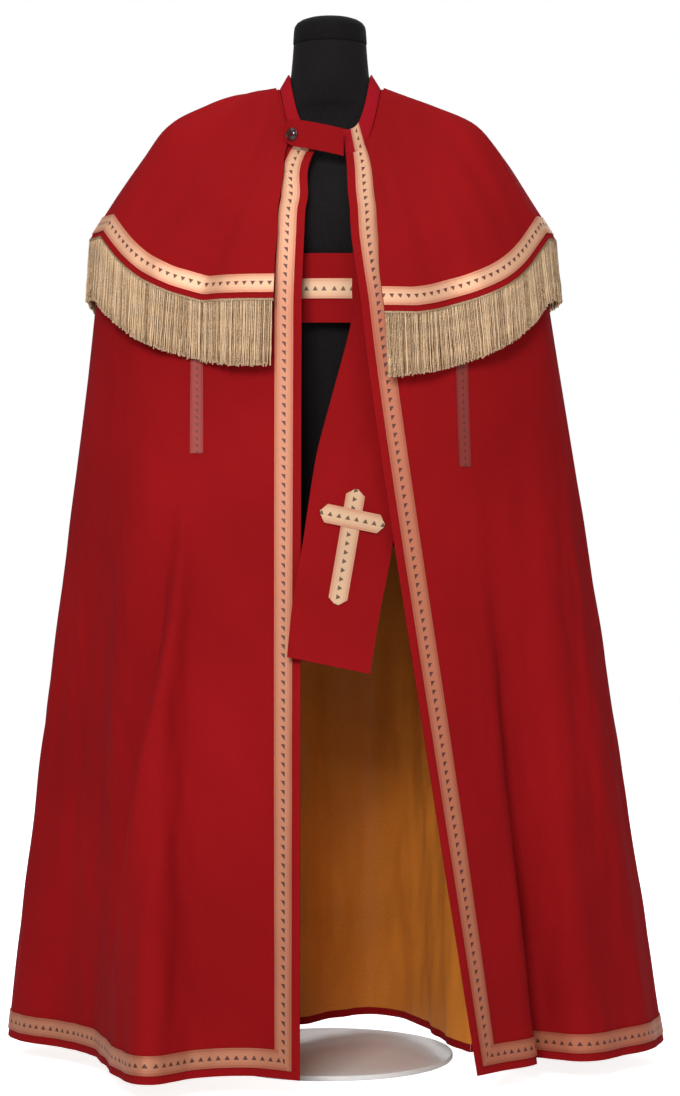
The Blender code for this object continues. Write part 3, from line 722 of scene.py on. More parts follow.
class Wiring:
    """Short calls for adding and joining nodes."""

    def __init__(self, tree):
        self.tree = tree

    def feed(self, node, inputs):
        """Sets inputs, by name or number, to plain values or joins outputs to them."""
        for name, value in inputs.items():
            socket = node.inputs[name]
            if isinstance(value, Value):
                self.tree.links.new(value.socket, socket)
            elif isinstance(value, tuple):
                socket.default_value = (*value, 1.0)[: len(socket.default_value)]
            else:
                socket.default_value = value

    def node(self, kind, inputs=None, **values):
        made = self.tree.nodes.new(kind)
        for name, value in values.items():
            setattr(made, name, value)
        self.feed(made, inputs or {})
        return made

    def get(self, kind, inputs=None, output=0, **values):
        """Adds a node and returns one of its outputs."""
        return Value(self, self.node(kind, inputs, **values).outputs[output])

    def group(self, tree, inputs):
        """Places a node group; what it returns gives the group's outputs by name."""
        made = self.node("ShaderNodeGroup", inputs, node_tree=tree)
        return lambda name: Value(self, made.outputs[name])

    def math(self, operation, *values):
        return self.get("ShaderNodeMath", dict(enumerate(values)), operation=operation)

    def blend(self, share, first, second, blend_type="MIX"):
        inputs = {0: share, 6: first, 7: second}
        return self.get("ShaderNodeMix", inputs, 2, data_type="RGBA", blend_type=blend_type)

    def noise(self, vector, scale, detail=2.0):
        inputs = {"Vector": vector, "Scale": scale, "Detail": detail}
        return self.get("ShaderNodeTexNoise", inputs, "Fac")

    def parts(self, vector):
        """The x, y and z of a vector."""
        made = self.node("ShaderNodeSeparateXYZ", {0: vector})
        return [Value(self, socket) for socket in made.outputs]

    def uv(self):
        return self.get("ShaderNodeUVMap", uv_map="UVMap")

    def place(self):
        return self.get("ShaderNodeTexCoord", output="Object")

    def bump(self, height, distance, strength):
        inputs = {"Height": height, "Distance": distance, "Strength": strength}
        return self.get("ShaderNodeBump", inputs, "Normal")

    def by_camera(self, other, seen):
        """One number for the camera's rays and another for all others."""
        rays = self.get("ShaderNodeLightPath", output="Is Camera Ray")
        return rays.ramp(0.0, 1.0, other, seen)


def start_group(name, inputs, outputs, kind="ShaderNodeTree"):
    """A new node group: read(name) gives an input, give(values) sets its outputs.

    Each socket is a name and a kind; an input may add its value, minimum and maximum."""
    tree = bpy.data.node_groups.new(name, kind)
    for way, sockets in (("INPUT", inputs), ("OUTPUT", outputs)):
        for label, of_kind, *values in sockets:
            made = tree.interface.new_socket(
                name=label, in_out=way, socket_type=f"NodeSocket{of_kind}"
            )
            for key, value in zip(("default_value", "min_value", "max_value"), values):
                setattr(made, key, value)
    wires = Wiring(tree)
    inside, outside = wires.node("NodeGroupInput"), wires.node("NodeGroupOutput")

    def read(label):
        return Value(wires, inside.outputs[label])

    def give(values):
        wires.feed(outside, values)
        return tree

    return wires, read, give


@cache
def weave_group():
    """Fine crossing threads with slubs, from a vector in metres."""
    wires, read, give = start_group(
        "Thread weave",
        (
            ("Vector", "Vector"),
            ("Thread count", "Float", 900.0, 50.0, 5000.0),
            ("Slant", "Float", 0.0, -2.0, 2.0),
        ),
        (("Height", "Float"), ("Shade", "Float")),
    )
    x, y, _ = wires.parts(read("Vector"))
    warp = ((x + y * read("Slant")) * read("Thread count")).sine()
    weft = (y * read("Thread count")).sine()
    slubs = wires.noise(read("Vector"), 420.0, 3.0)
    return give({"Height": warp * weft * 0.35 + slubs, "Shade": slubs.ramp(0.3, 0.7)})


@cache
def patches_group():
    """Large soft patches of lighter and darker nap, and fine specks."""
    wires, read, give = start_group(
        "Nap patches",
        (
            ("Vector", "Vector"),
            ("Colour", "Color", (0.3, 0.01, 0.01, 1.0)),
            ("Dark", "Color", (0.2, 0.01, 0.01, 1.0)),
            ("Patch scale", "Float", 5.0, 0.1, 100.0),
        ),
        (("Colour", "Color"), ("Rough", "Float")),
    )
    large = wires.noise(read("Vector"), read("Patch scale"), 3.0).ramp(0.32, 0.70)
    specks = wires.noise(read("Vector"), 260.0)
    share = large * 0.65 + specks.ramp(0.35, 0.65, 0.0, 0.35)
    colour = wires.blend(share, read("Dark"), read("Colour"))
    return give({"Colour": colour, "Rough": specks.ramp(0.3, 0.7, 0.78, 0.95)})


@cache
def braid_group():
    """Woven braid: bright ground, a row of small triangles, ribs and edge cords.

    X of the vector runs along the braid in metres and Y across it from 0 to 1."""
    wires, read, give = start_group(
        "Triangle braid",
        (
            ("Vector", "Vector"),
            ("Pitch", "Float", 0.0132, 0.001, 0.1),
            ("Ground", "Color", (0.9, 0.5, 0.3, 1.0)),
            ("Motif", "Color", (0.12, 0.006, 0.008, 1.0)),
            ("Edge", "Color", (0.5, 0.12, 0.07, 1.0)),
        ),
        (("Colour", "Color"), ("Height", "Float"), ("Metal", "Float")),
    )
    along, across, _ = wires.parts(read("Vector"))
    step = along / read("Pitch")
    aside = abs(wires.math("FRACT", step) - 0.5)
    limit = (1.0 - across.ramp(0.385, 0.635)) * 0.30
    triangle = wires.math("LESS_THAN", aside, limit) * across.near(0.495, 0.105)
    middle = abs(across - 0.5)
    zigzag = wires.math("PINGPONG", step * 2.0, 1.0)
    lace = middle.near(zigzag * 0.035 + 0.235, 0.018)
    cord = middle.near(0.40, 0.028)
    rim = wires.math("GREATER_THAN", middle, 0.475)
    grain = wires.noise(read("Vector"), 900.0)
    colour = wires.blend(grain.ramp(0.35, 0.68, 0.0, 0.42), read("Ground"), read("Edge"))
    for share in (middle.ramp(0.24, 0.44, 0.0, 0.62), cord * 0.35, lace * 0.22, rim * 0.6):
        colour = wires.blend(share, colour, read("Edge"))
    colour = wires.blend(triangle, colour, read("Motif"))
    ribs = (across * 150.0).sine()
    threads = (along * 5200.0).sine()
    height = ribs * 0.10 + threads * 0.12 + cord * 0.8 + lace * 0.35 - triangle * 0.5
    return give({"Colour": colour, "Height": height, "Metal": (1.0 - triangle) * 0.38})


def start_material(name):
    made = bpy.data.materials.new(name)
    made.use_nodes = True
    return made, Wiring(made.node_tree), made.node_tree.nodes["Principled BSDF"]


def tinted(colour, *shares):
    """The colour times one share, or times a share for each channel."""
    return tuple(min(1.0, channel * share) for channel, share in zip(colour, shares * 3))


def nap_and_weave(wires, vector, colour, dark, patch_scale, threads, slant=0.0):
    nap = wires.group(
        patches_group(),
        {"Vector": vector, "Colour": colour, "Dark": dark, "Patch scale": patch_scale},
    )
    weave = wires.group(
        weave_group(), {"Vector": vector, "Thread count": threads, "Slant": slant}
    )
    return nap, weave


def cloth_material(name, colour, dark):
    """Soft matte cloth with nap patches and a fine weave."""
    made, wires, shader = start_material(name)
    nap, weave = nap_and_weave(wires, wires.uv(), colour, dark, 4.0, 3400.0)
    wires.feed(shader, {
        "Base Color": nap("Colour"),
        "Roughness": nap("Rough"),
        "Sheen Weight": 0.03,
        "Sheen Roughness": 0.35,
        "Sheen Tint": (1.0, 0.10, 0.22),
        "Specular IOR Level": 0.06,
        "Normal": wires.bump(weave("Height"), 0.0003, 0.5),
    })
    return made


def satin_material(colour):
    """Golden satin lining with a fine slanted weave."""
    made, wires, shader = start_material("golden_satin")
    dark = tinted(colour, 0.72)
    nap, weave = nap_and_weave(wires, wires.uv(), colour, dark, 7.0, 5200.0, 0.8)
    wires.feed(shader, {
        "Base Color": nap("Colour"),
        "Roughness": weave("Shade").ramp(0.0, 1.0, 0.46, 0.60),
        "Specular IOR Level": 0.2,
        "Sheen Weight": 0.04,
        "Sheen Tint": (1.0, 0.60, 0.20),
        "Normal": wires.bump(weave("Height"), 0.00015, 0.35),
    })
    return made


def braid_material(
    name, colour, pitch, edge=(0.55, 0.16, 0.09), motif=(0.12, 0.028, 0.016), shade_tint=None
):
    """Metallic braid; the given shade tint darkens it below the chest as painted shade."""
    made, wires, shader = start_material(name)
    pattern = wires.group(
        braid_group(),
        {"Vector": wires.uv(), "Pitch": pitch, "Ground": colour, "Edge": edge, "Motif": motif},
    )
    tone = pattern("Colour")
    # Painted shade: the braid's colour is multiplied by the tint below the chest and fades out
    # higher up
    if shade_tint:
        height = wires.parts(wires.place())[2]
        painted_shade = wires.blend(height.ramp(SHADED_BELOW, LIT_ABOVE), shade_tint, (1.0, 1.0, 1.0))
        tone = wires.blend(1.0, tone, painted_shade, "MULTIPLY")
    wires.feed(shader, {
        "Base Color": tone,
        "Metallic": pattern("Metal"),
        "Roughness": 0.46,
        "Normal": wires.bump(pattern("Height"), 0.0004, 0.7),
    })
    return made


def yarn_material(colour):
    """Twisted shiny yarn; each strand has its own tone."""
    made, wires, shader = start_material("fringe_yarn")
    x, y, _ = wires.parts(wires.uv())
    tone, hang = (
        wires.get("ShaderNodeAttribute", output="Fac", attribute_name=name)
        for name in ("tone", "hang")
    )
    twist = (y * 2400.0 + x * 12.566).sine()
    dark = tinted(colour, 0.36, 0.28, 0.22)
    pale = tinted(colour, 1.45, 1.55, 1.7)
    specks = wires.noise(wires.place(), 560.0)
    glints = wires.noise(wires.place(), 1300.0, 1.0)
    ground = wires.blend(specks.ramp(0.38, 0.58), dark, colour)
    for share, other in (
        (tone.ramp(0.25, 1.0, 0.0, 0.8), pale),
        (tone.ramp(0.0, 0.22, 0.75, 0.0), dark),
        (glints.ramp(0.62, 0.70, 0.0, 0.8), pale),
        (hang.ramp(0.95, 1.0, 0.0, 0.7), pale),
        # Painted shade: the grooves of the twist are darkened
        (1.0 - twist.ramp(-1.0, -0.3, 0.55, 1.0), dark),
    ):
        ground = wires.blend(share, ground, other)
    wires.feed(shader, {
        "Base Color": ground,
        "Roughness": 0.42,
        "Metallic": 0.15,
        "Normal": wires.bump(twist, 0.0003, 0.6),
    })
    return made


def jersey_material(name, colour, threads):
    made, wires, shader = start_material(name)
    nap, weave = nap_and_weave(wires, wires.place(), colour, tinted(colour, 0.6), 9.0, threads)
    wires.feed(shader, {
        "Base Color": nap("Colour"),
        "Roughness": nap("Rough"),
        "Specular IOR Level": 0.16,
        "Sheen Weight": 0.02,
        "Normal": wires.bump(weave("Height"), 0.0003, 0.5),
    })
    return made


def lacquer_material(name, colour, roughness, coat):
    made, wires, shader = start_material(name)
    haze = wires.noise(wires.place(), 40.0, 4.0)
    wires.feed(shader, {
        "Base Color": wires.blend(haze.ramp(0.3, 0.7, 0.0, 0.12), colour, tinted(colour, 0.8)),
        "Roughness": haze.ramp(0.3, 0.7, roughness, roughness + 0.12),
        "Coat Weight": coat,
    })
    return made


@cache
def material(name):
    """Each finish is made once."""
    cloth, trim, form = settings()
    red, gold = tuple(cloth.cloth_colour), tuple(trim.braid_colour)
    black, pitch = tuple(form.form_colour), trim.motif_pitch
    makers = {
        "cloth": lambda: cloth_material("red_cloth", red, tinted(red, 0.74)),
        "collar": lambda: cloth_material("collar_cloth", tinted(red, 1.08, 1.1, 2.4), red),
        "lining": lambda: satin_material(tuple(cloth.lining_colour)),
        "braid": lambda: braid_material("gold_braid", gold, pitch),
        "sash_braid": lambda: braid_material(
            "sash_braid", tinted(gold, 0.78, 0.88, 0.88), pitch, (0.52, 0.20, 0.12),
            (0.11, 0.050, 0.022),
        ),
        # The edge and hem braids get a tint of painted shade below the chest
        "right_braid": lambda: braid_material(
            "right_edge_braid", gold, pitch, shade_tint=(0.62, 0.44, 0.39)
        ),
        "left_braid": lambda: braid_material(
            "left_edge_braid", gold, pitch, shade_tint=(0.60, 0.34, 0.29)
        ),
        # The arm slits' braid: its dark red-brown colours stand in for the shade and dim reflection
        # on it, painted shade
        "dull_braid": lambda: braid_material(
            "slit_braid", (0.24, 0.032, 0.022), pitch * 0.8, (0.20, 0.011, 0.011),
            (0.08, 0.004, 0.005),
        ),
        "fringe": lambda: yarn_material(tuple(trim.fringe_colour)),
        "form": lambda: jersey_material("black_jersey", black, 2600.0),
        "cap": lambda: jersey_material("black_cap", tinted(black, 0.55), 900.0),
        "stand": lambda: lacquer_material("white_lacquer", tuple(form.stand_colour), 0.3, 0.3),
        "button": lambda: lacquer_material("dark_red_gloss", (0.030, 0.002, 0.002), 0.10, 0.5),
    }
    return makers[name]()


# Pieces


def dress(piece, slot, *nodes):
    """Rides on the one body and stands for its nodes; the slot is not used."""
    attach(piece, "root")
    if nodes:
        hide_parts(*nodes)


def built_area(grid, mask):
    """Area of the masked cells of a grid."""
    first = grid[1:, 1:] - grid[:-1, :-1]
    second = grid[1:, :-1] - grid[:-1, 1:]
    return float((np.linalg.norm(np.cross(first, second), axis=-1) * mask).sum() / 2)


def declare(width, length, area):
    if area > width * length:
        length = area / width * 1.001


def declare_grid(grid):
    width, length = (float(size) for size in length_uv(grid).max(axis=(0, 1)))
    declare(width, length, built_area(grid, cells_of(grid)))


def cloak_columns(inset, column_step, before):
    """Columns between the two edge braids: shares of the hem with offsets in metres.

    Also the first column of every seam and slit, and how far the slits drift."""
    first = np.interp(inset, HEM_LENGTHS, DENSE)
    last = np.interp(HEM_LENGTHS[-1] - inset, HEM_LENGTHS, DENSE)
    marks = [(seam, SEAM_GAP / 2, 0.0) for seam in SEAMS]
    marks.insert(0, (SLIT_TURN_RIGHT, SLIT_HALF_WIDTH, SLIT_DRIFT_RIGHT))
    marks.append((SLIT_TURN_LEFT, SLIT_HALF_WIDTH, SLIT_DRIFT_LEFT))
    chosen = [(first, 0.0)]
    named = {}
    drifts = [(0.0, 0.0)]
    for turn, half, drift in (*marks, (None, 0.0, 0.0)):
        share = last if turn is None else fold_share(turn)
        drifts.append((share, drift / (LAST_TURN - FIRST_TURN)))
        start = np.interp(chosen[-1][0], DENSE, HEM_LENGTHS) + chosen[-1][1]
        end = np.interp(share, DENSE, HEM_LENGTHS) - half
        count = max(2, int(round((end - start) / column_step)))
        between = np.linspace(start, end, count + 1)[1:-1]
        chosen += [(np.interp(step, HEM_LENGTHS, DENSE), 0.0) for step in between]
        if turn is None:
            break
        named[turn] = before + len(chosen)
        chosen.append((share, -half))
        if half == SLIT_HALF_WIDTH:
            chosen += [(share, -half / 2), (share, 0.0), (share, half / 2)]
        chosen.append((share, half))
    chosen.append((last, 0.0))
    return np.array(chosen).T, named, drifts


def cloak_creases(along, hem_along, down, depth):
    """Height of the small creases between the main folds, calm near the front edges."""
    folds = Waves(seed=3, count=9, shortest=0.075, longest=0.24, slant=0.10)
    small = Waves(seed=5, count=8, shortest=0.030, longest=0.075, slant=0.35)
    low = smooth((down - 0.42) / 0.75)
    upper = smooth(down / 0.12) * (1.0 - smooth((down - 0.35) / 0.4))
    from_right = smooth((along - 0.05) / 0.16)
    from_left = smooth((along[:, -1:] - along - 0.05) / 0.16)
    calm = 0.25 + 0.75 * from_right * from_left
    lift = depth * low * calm * folds(hem_along, down)
    lift += 0.28 * depth * low * calm * small(hem_along, down)
    return lift + 0.35 * depth * upper * calm * folds(hem_along * 0.8, down)


@cache
def cloak_surface():
    """Fine grid of the cloak, shared by its cloth, lining and braid."""
    cloth, trim, _ = settings()
    wide = trim.braid_width
    inset = EDGE_MARGIN + wide
    levels = np.linspace(0.0, 5.0, 33)
    downs = np.linspace(0.0, 1.0, int(SKIRT_LENGTH / cloth.row_step) + 1)[1:]
    before_slit = downs[downs < SLIT_FOOT - SLIT_CLEARANCE]
    after_slit = downs[(downs > SLIT_FOOT + SLIT_CLEARANCE) & (downs < 1.0 - 1.15 * inset)]
    downs = [*before_slit, SLIT_FOOT, *after_slit]
    hem_steps = (inset, inset - wide / 3, inset - wide * 2 / 3, EDGE_MARGIN, EDGE_MARGIN / 2, 0.0)
    rings = [cloak_ring(level) for level in levels]
    rings += [skirt_ring(down) for down in downs]
    rings += [skirt_ring(1.0, step) for step in hem_steps]
    edge_steps = [0.0, EDGE_MARGIN / 2, EDGE_MARGIN]
    edge_steps += [EDGE_MARGIN + wide * part / 4 for part in (1, 2, 3)]
    (shares, asides), named, drifts = cloak_columns(inset, cloth.column_step, len(edge_steps))
    first, last = shares[0], shares[-1]
    places, along = [], []
    moves = [0.0] * len(levels) + [min(0.25, down) for down in (*downs, *[1.0] * HEM_ROWS)]
    for ring, move in zip(rings, moves):
        lengths = lengths_down(ring(DENSE))
        total = lengths[-1]
        low = np.interp(inset, lengths, DENSE)
        high = np.interp(total - inset, lengths, DENSE)
        drifted = shares + move * np.interp(shares, *zip(*drifts))
        place = low + (high - low) * (drifted - first) / (last - first)
        scale = np.where(np.abs(asides) < 0.001, 1.0, min(1.0, total / 1.75))
        moved = np.interp(place, DENSE, lengths) + asides * scale
        place = np.where(asides == 0.0, place, np.interp(moved, lengths, DENSE))
        left = np.interp(edge_steps, lengths, DENSE)
        right = np.interp(total - np.array(edge_steps[::-1]), lengths, DENSE)
        places.append(np.sort(np.concatenate([left, place, right])))
        along.append(np.interp(places[-1], DENSE, lengths))
    grid, normal = outward(rings, places)
    along = np.array(along)
    down = lengths_down(grid)
    hem_along = np.interp(np.array(places), DENSE, HEM_LENGTHS)
    lift = cloak_creases(along, hem_along, down, cloth.crease_depth)
    lift += troughs(hem_along, down)
    normal = smoothed_rows(normal)
    grid = grid + normal * lift[..., None]
    return dict(
        wall=(grid, normal, np.stack([hem_along, -down], axis=-1)),
        along=along,
        down=down,
        marks=named,
        edge=len(edge_steps),
        hem_rows=(len(rings) - HEM_ROWS, len(rings) - 3),
        chest=len(levels) - 1,
        slit_row=len(levels) + len(before_slit),
    )


def smoothed_rows(normal):
    """The normals, averaged a little down the rows and made unit again."""
    padded = np.concatenate([normal[:1], normal, normal[-1:]])
    return unit(padded[:-2] + 2 * padded[1:-1] + padded[2:])


def panel_spans(surface, seams, names):
    """Columns of the panels between the seams, and of the two fronts."""
    marks = surface["marks"]
    starts = [0, *(marks[seam] + 1 for seam in seams)]
    ends = [*(marks[seam] for seam in seams), surface["along"].shape[1] - 1]
    return dict(zip(names, zip(starts, ends)))


def three_spans(surface):
    seams = (SIDE_SEAM_RIGHT, SIDE_SEAM_LEFT)
    return panel_spans(surface, seams, ("front_right", "back", "front_left"))


class CLOAK_OT_cloth(Operator):
    """Make the two fronts and four back gores with their folds and creases"""

    bl_idname = "cloak.cloth"
    bl_label = "Cloak cloth"

    def execute(self, context):
        cloth, _, _ = settings()
        surface = cloak_surface()
        grid, _, uv = surface["wall"]
        gores = ("back_1", "back_2", "back_3", "back_4")
        spans = panel_spans(surface, SEAMS, ("front_right", *gores, "front_left"))
        for part in ("front_right", "front_left", *gores):
            start, end = spans[part]
            mask = cells_of(grid, columns=(start, end))
            depths = (-cloth.cloth_thickness, 0.0)
            piece = shell(f"cloth_{part}", surface["wall"], depths, "cloth", mask)
            dress(piece, "cloth", f"cloak_{part}")
            hem = uv[-1, end, 0] - uv[-1, start, 0]
            declare(
                hem, PANEL_LENGTH, built_area(grid, mask)
            )
        return {"FINISHED"}


class CLOAK_OT_lining(Operator):
    """Make the golden lining inside the fronts and the back"""

    bl_idname = "cloak.lining"
    bl_label = "Satin lining"

    def execute(self, context):
        cloth, _, _ = settings()
        surface = cloak_surface()
        grid, _, uv = surface["wall"]
        rows, columns = grid.shape[:2]
        outer = -cloth.cloth_thickness - BRAID_GAP
        depths = (outer - cloth.lining_thickness, outer)
        for part, span in three_spans(surface).items():
            start, end = max(span[0], 2), min(span[1], columns - 3)
            mask = cells_of(grid, (surface["chest"], rows - 3), (start, end))
            piece = shell(f"satin_{part}", surface["wall"], depths, "lining", mask)
            dress(piece, "lining", f"lining_{part}")
            hem = uv[-1, end, 0] - uv[-1, start, 0]
            carrier = "cloth_back_2" if part == "back" else f"cloth_{part}"
            declare(hem, LINING_LENGTH, built_area(grid, mask))
        return {"FINISHED"}


class CLOAK_OT_edge_braid(Operator):
    """Make the flat braid along the front edges, the hem and the arm slits"""

    bl_idname = "cloak.edge_braid"
    bl_label = "Edge and hem braid"

    def execute(self, context):
        _, trim, _ = settings()
        surface = cloak_surface()
        grid, normal, _ = surface["wall"]
        along, down = surface["along"], surface["down"]
        edge = np.minimum(along, along[:, -1:] - along)
        above = down[-1:] - down
        across_edge, across_hem = (
            (distance - EDGE_MARGIN) / trim.braid_width for distance in (edge, above)
        )
        upright_uv = np.stack([down, across_edge], axis=-1)
        level_uv = np.stack([along[-1:] * np.ones_like(along), across_hem], axis=-1)
        use_level = above[:-1, :-1] + above[1:, 1:] < edge[:-1, :-1] + edge[1:, 1:]
        last, wide = grid.shape[1] - 3, surface["edge"]
        top, bottom = surface["hem_rows"]
        spans = three_spans(surface)
        stretches = (
            ("edge_braid_right", "right_braid", (2, wide), (2, spans["front_right"][1])),
            (
                "edge_braid_left",
                "left_braid",
                (last + 2 - wide, last),
                (spans["front_left"][0], last),
            ),
            ("hem_braid_back", "left_braid", None, spans["back"]),
        )
        for name, finish, upright, level in stretches:
            mask = cells_of(grid, (top, bottom), level)
            if upright:
                mask |= cells_of(grid, (0, bottom), upright)
            depths = (BRAID_GAP, BRAID_GAP + trim.braid_thickness)
            wall = (grid, normal, upright_uv)
            piece = shell(f"gold_{name}", wall, depths, finish, mask, (level_uv, use_level))
            dress(piece, "braid", name)
        rows = (surface["chest"] - SLIT_ROWS_ABOVE_CHEST, surface["slit_row"])
        depths = (BRAID_GAP, (BRAID_GAP + trim.braid_thickness) * 0.8)
        # The slit braids carry painted shade: their dark colour stands in for the shade on them
        for side, turn in (("right", SLIT_TURN_RIGHT), ("left", SLIT_TURN_LEFT)):
            first = surface["marks"][turn]
            start, end = along[:, first : first + 1], along[:, first + 4 : first + 5]
            uv = np.stack([down, (along - start) / (end - start)], axis=-1)
            mask = cells_of(grid, rows, (first, first + 4))
            name = f"slit_braid_{side}"
            piece = shell(f"dull_{name}", (grid, normal, uv), depths, "dull_braid", mask)
            dress(piece, "braid", name)
        return {"FINISHED"}


@cache
def cape_parts():
    """Fine grids of the shoulder cape, one for each part."""
    cloth, _, _ = settings()
    last = CAPE_RINGS[6]
    stops = [(seam - last[8]) / (360.0 - last[9] - last[8]) for seam in CAPE_SEAMS]
    stops = [0.0, *stops, 1.0]
    rings = [cape_ring(level) for level in np.linspace(0.0, 5.0, 34)]
    hem_steps = (0.055, 0.046, 0.039, 0.029, 0.019, 0.009, 0.0045, 0.0)
    rings += [cape_ring(6.0, step) for step in hem_steps]
    hem = lengths_down(rings[-1](DENSE))
    folds = Waves(seed=11, count=8, shortest=0.05, longest=0.16, slant=0.25)
    made = {}
    for part, begin, end in zip(("front_right", "back", "front_left"), stops, stops[1:]):
        width = np.interp(end, DENSE, hem) - np.interp(begin, DENSE, hem)
        count = int(width / (cloth.column_step * 0.75))
        places, along = [], []
        for ring in rings:
            lengths = lengths_down(ring(DENSE))
            start = np.interp(begin, DENSE, lengths) + (SEAM_GAP / 2 if begin > 0 else 0.0)
            stop = np.interp(end, DENSE, lengths) - (SEAM_GAP / 2 if end < 1 else 0.0)
            along.append(np.linspace(start, stop, count + 1))
            places.append(np.interp(along[-1], lengths, DENSE))
        grid, normal = outward(rings, places)
        if normal[20, count // 2] @ (grid[20, count // 2] * (1, 1, 0)) < 0:
            normal = -normal
        down = lengths_down(grid)
        hem_along = np.interp(np.array(places), DENSE, hem)
        calm = 0.3 + 0.7 * smooth(hem_along / 0.10) * smooth((hem[-1] - hem_along) / 0.10)
        lift = 0.0011 * smooth(down / 0.10) * calm * folds(hem_along, down)
        grid = grid + normal * lift[..., None]
        made[part] = dict(
            wall=(grid, normal, np.stack([hem_along, -down], axis=-1)),
            hem_length=along[-1][-1] - along[-1][0],
            down=down,
            ends=cape_ring(7.0)(places[-1]) + normal[-1] * lift[-1][..., None],
        )
    return made


class CLOAK_OT_cape(Operator):
    """Make the elbow-length shoulder cape and the braid near its hem"""

    bl_idname = "cloak.cape"
    bl_label = "Shoulder cape"

    def execute(self, context):
        cloth, trim, _ = settings()
        for part, surface in cape_parts().items():
            grid, normal, uv = surface["wall"]
            depths = (-cloth.cloth_thickness, 0.0)
            piece = shell(f"cloth_cape_{part}", surface["wall"], depths, "cloth")
            dress(piece, "cloth", f"cape_{part}")
            area = built_area(grid, cells_of(grid))
            below = "cloth_back_2" if part == "back" else f"cloth_{part}"
            declare(surface["hem_length"], CAPE_LENGTH, area)
            above = surface["down"][-1:] - surface["down"]
            across = 1.0 - (above - CAPE_MARGIN) / CAPE_BRAID_WIDTH
            wall = (grid, normal, np.stack([uv[..., 0], across], axis=-1))
            mask = cells_of(grid, (len(grid) - 6, len(grid) - 3))
            depths = (BRAID_GAP, BRAID_GAP + trim.braid_thickness)
            piece = shell(f"gold_cape_braid_{part}", wall, depths, "braid", mask)
            dress(piece, "braid", f"cape_braid_{part}")
        return {"FINISHED"}


def strand_mesh(radius):
    """One unit-long twisted strand hanging down -Z, with a soft end."""
    sides, rings = 5, 9
    points, uvs, faces = [], [], [tuple(range(sides))]
    for ring in range(rings):
        share = ring / (rings - 1)
        wide = radius * (1.0 + 0.16 * math.sin(ring * 2.4))
        wide *= 0.75 if ring == rings - 1 else 1.0
        for side in range(sides):
            angle = 2 * math.pi * side / sides + share * 2.2
            points.append((wide * math.cos(angle), wide * math.sin(angle), -share))
            uvs.append((side / sides, share * 0.11))
    for low in range(0, (rings - 1) * sides, sides):
        for side in range(sides):
            after = (side + 1) % sides
            high = low + sides
            faces.append((low + side, high + side, high + after, low + after))
    faces.append(tuple((rings - 1) * sides + side for side in reversed(range(sides))))
    mesh = bpy.data.meshes.new("fringe_strand")
    mesh.from_pydata(points, [], faces)
    layer = mesh.uv_layers.new(name="UVMap")
    for loop in mesh.loops:
        layer.data[loop.index].uv = uvs[loop.vertex_index]
    hang = mesh.attributes.new("hang", "FLOAT", "POINT")
    hang.data.foreach_set("value", [-point[2] for point in points])
    mesh.polygons.foreach_set("use_smooth", [True] * len(mesh.polygons))
    return mesh


def fringe_tree():
    """Hangs a strand from every root point, along its own fall, and lets it sway."""
    wires, read, give = start_group(
        "Hanging fringe",
        (
            ("Geometry", "Geometry"),
            ("Strand", "Object"),
            ("Sway", "Float", 0.002, 0.0, 0.02),
            ("Seed", "Int", 7),
            ("Yarn", "Material"),
        ),
        (("Geometry", "Geometry"),),
        "GeometryNodeTree",
    )

    def stored(name, data_type="FLOAT"):
        kind = "GeometryNodeInputNamedAttribute"
        return wires.get(kind, {"Name": name}, "Attribute", data_type=data_type)

    def vector(operation, inputs):
        return wires.get("ShaderNodeVectorMath", inputs, operation=operation)

    back = vector("SCALE", {0: stored("fall", "FLOAT_VECTOR"), "Scale": -1.0})
    aim = wires.get("FunctionNodeAlignEulerToVector", {"Vector": back}, axis="Z")
    placed = wires.get("GeometryNodeInstanceOnPoints", {
        "Points": wires.get("GeometryNodeMeshToPoints", {"Mesh": read("Geometry")}),
        "Instance": wires.get(
            "GeometryNodeObjectInfo", {"Object": read("Strand")}, "Geometry",
            transform_space="ORIGINAL",
        ),
        "Rotation": aim,
        "Scale": wires.get("ShaderNodeCombineXYZ", {"X": 1.0, "Y": 1.0, "Z": stored("reach")}),
    })
    tone = wires.get(
        "FunctionNodeRandomValue", {2: 0.0, 3: 1.0, "Seed": read("Seed")}, 1, data_type="FLOAT"
    )
    kept = wires.get(
        "GeometryNodeStoreNamedAttribute", {"Geometry": placed, "Name": "tone", "Value": tone},
        data_type="FLOAT", domain="INSTANCE",
    )
    strands = wires.get("GeometryNodeRealizeInstances", {0: kept})
    where = wires.get("GeometryNodeInputPosition")
    noise = wires.get(
        "ShaderNodeTexNoise",
        {"Vector": where, "W": stored("tone") * 3.0, "Scale": 55.0, "Detail": 1.0},
        "Color", noise_dimensions="4D",
    )
    centred = vector("SUBTRACT", {0: noise, 1: (0.5, 0.5, 0.5)})
    pushed = vector("SCALE", {0: centred, "Scale": stored("hang") * read("Sway")})
    level = vector("MULTIPLY", {0: pushed, 1: (1.0, 1.0, 0.0)})
    moved = wires.get("GeometryNodeSetPosition", {"Geometry": strands, "Offset": level})
    inputs = {"Geometry": moved, "Material": read("Yarn")}
    return give({"Geometry": wires.get("GeometryNodeSetMaterial", inputs)})


def run_tree(name, base, tree, **values):
    """Runs a node tree on an object and returns the result as a plain mesh piece."""
    modifier = base.modifiers.new("Nodes", "NODES")
    modifier.node_group = tree
    for item in tree.interface.items_tree:
        if item.in_out == "INPUT" and item.name in values:
            modifier[item.identifier] = values[item.name]
    graph = bpy.context.evaluated_depsgraph_get()
    graph.update()
    mesh = bpy.data.meshes.new_from_object(base.evaluated_get(graph))
    mesh.name = name
    base.modifiers.remove(modifier)
    bpy.data.objects.remove(base, do_unlink=True)
    if not mesh.polygons:
        raise RuntimeError(f"{name} came out empty")
    return linked(name, mesh)


def laid(values, along, lengths):
    """Vectors of a row, at lengths along it."""
    return np.stack([np.interp(along, lengths, values[:, axis]) for axis in range(3)], -1)


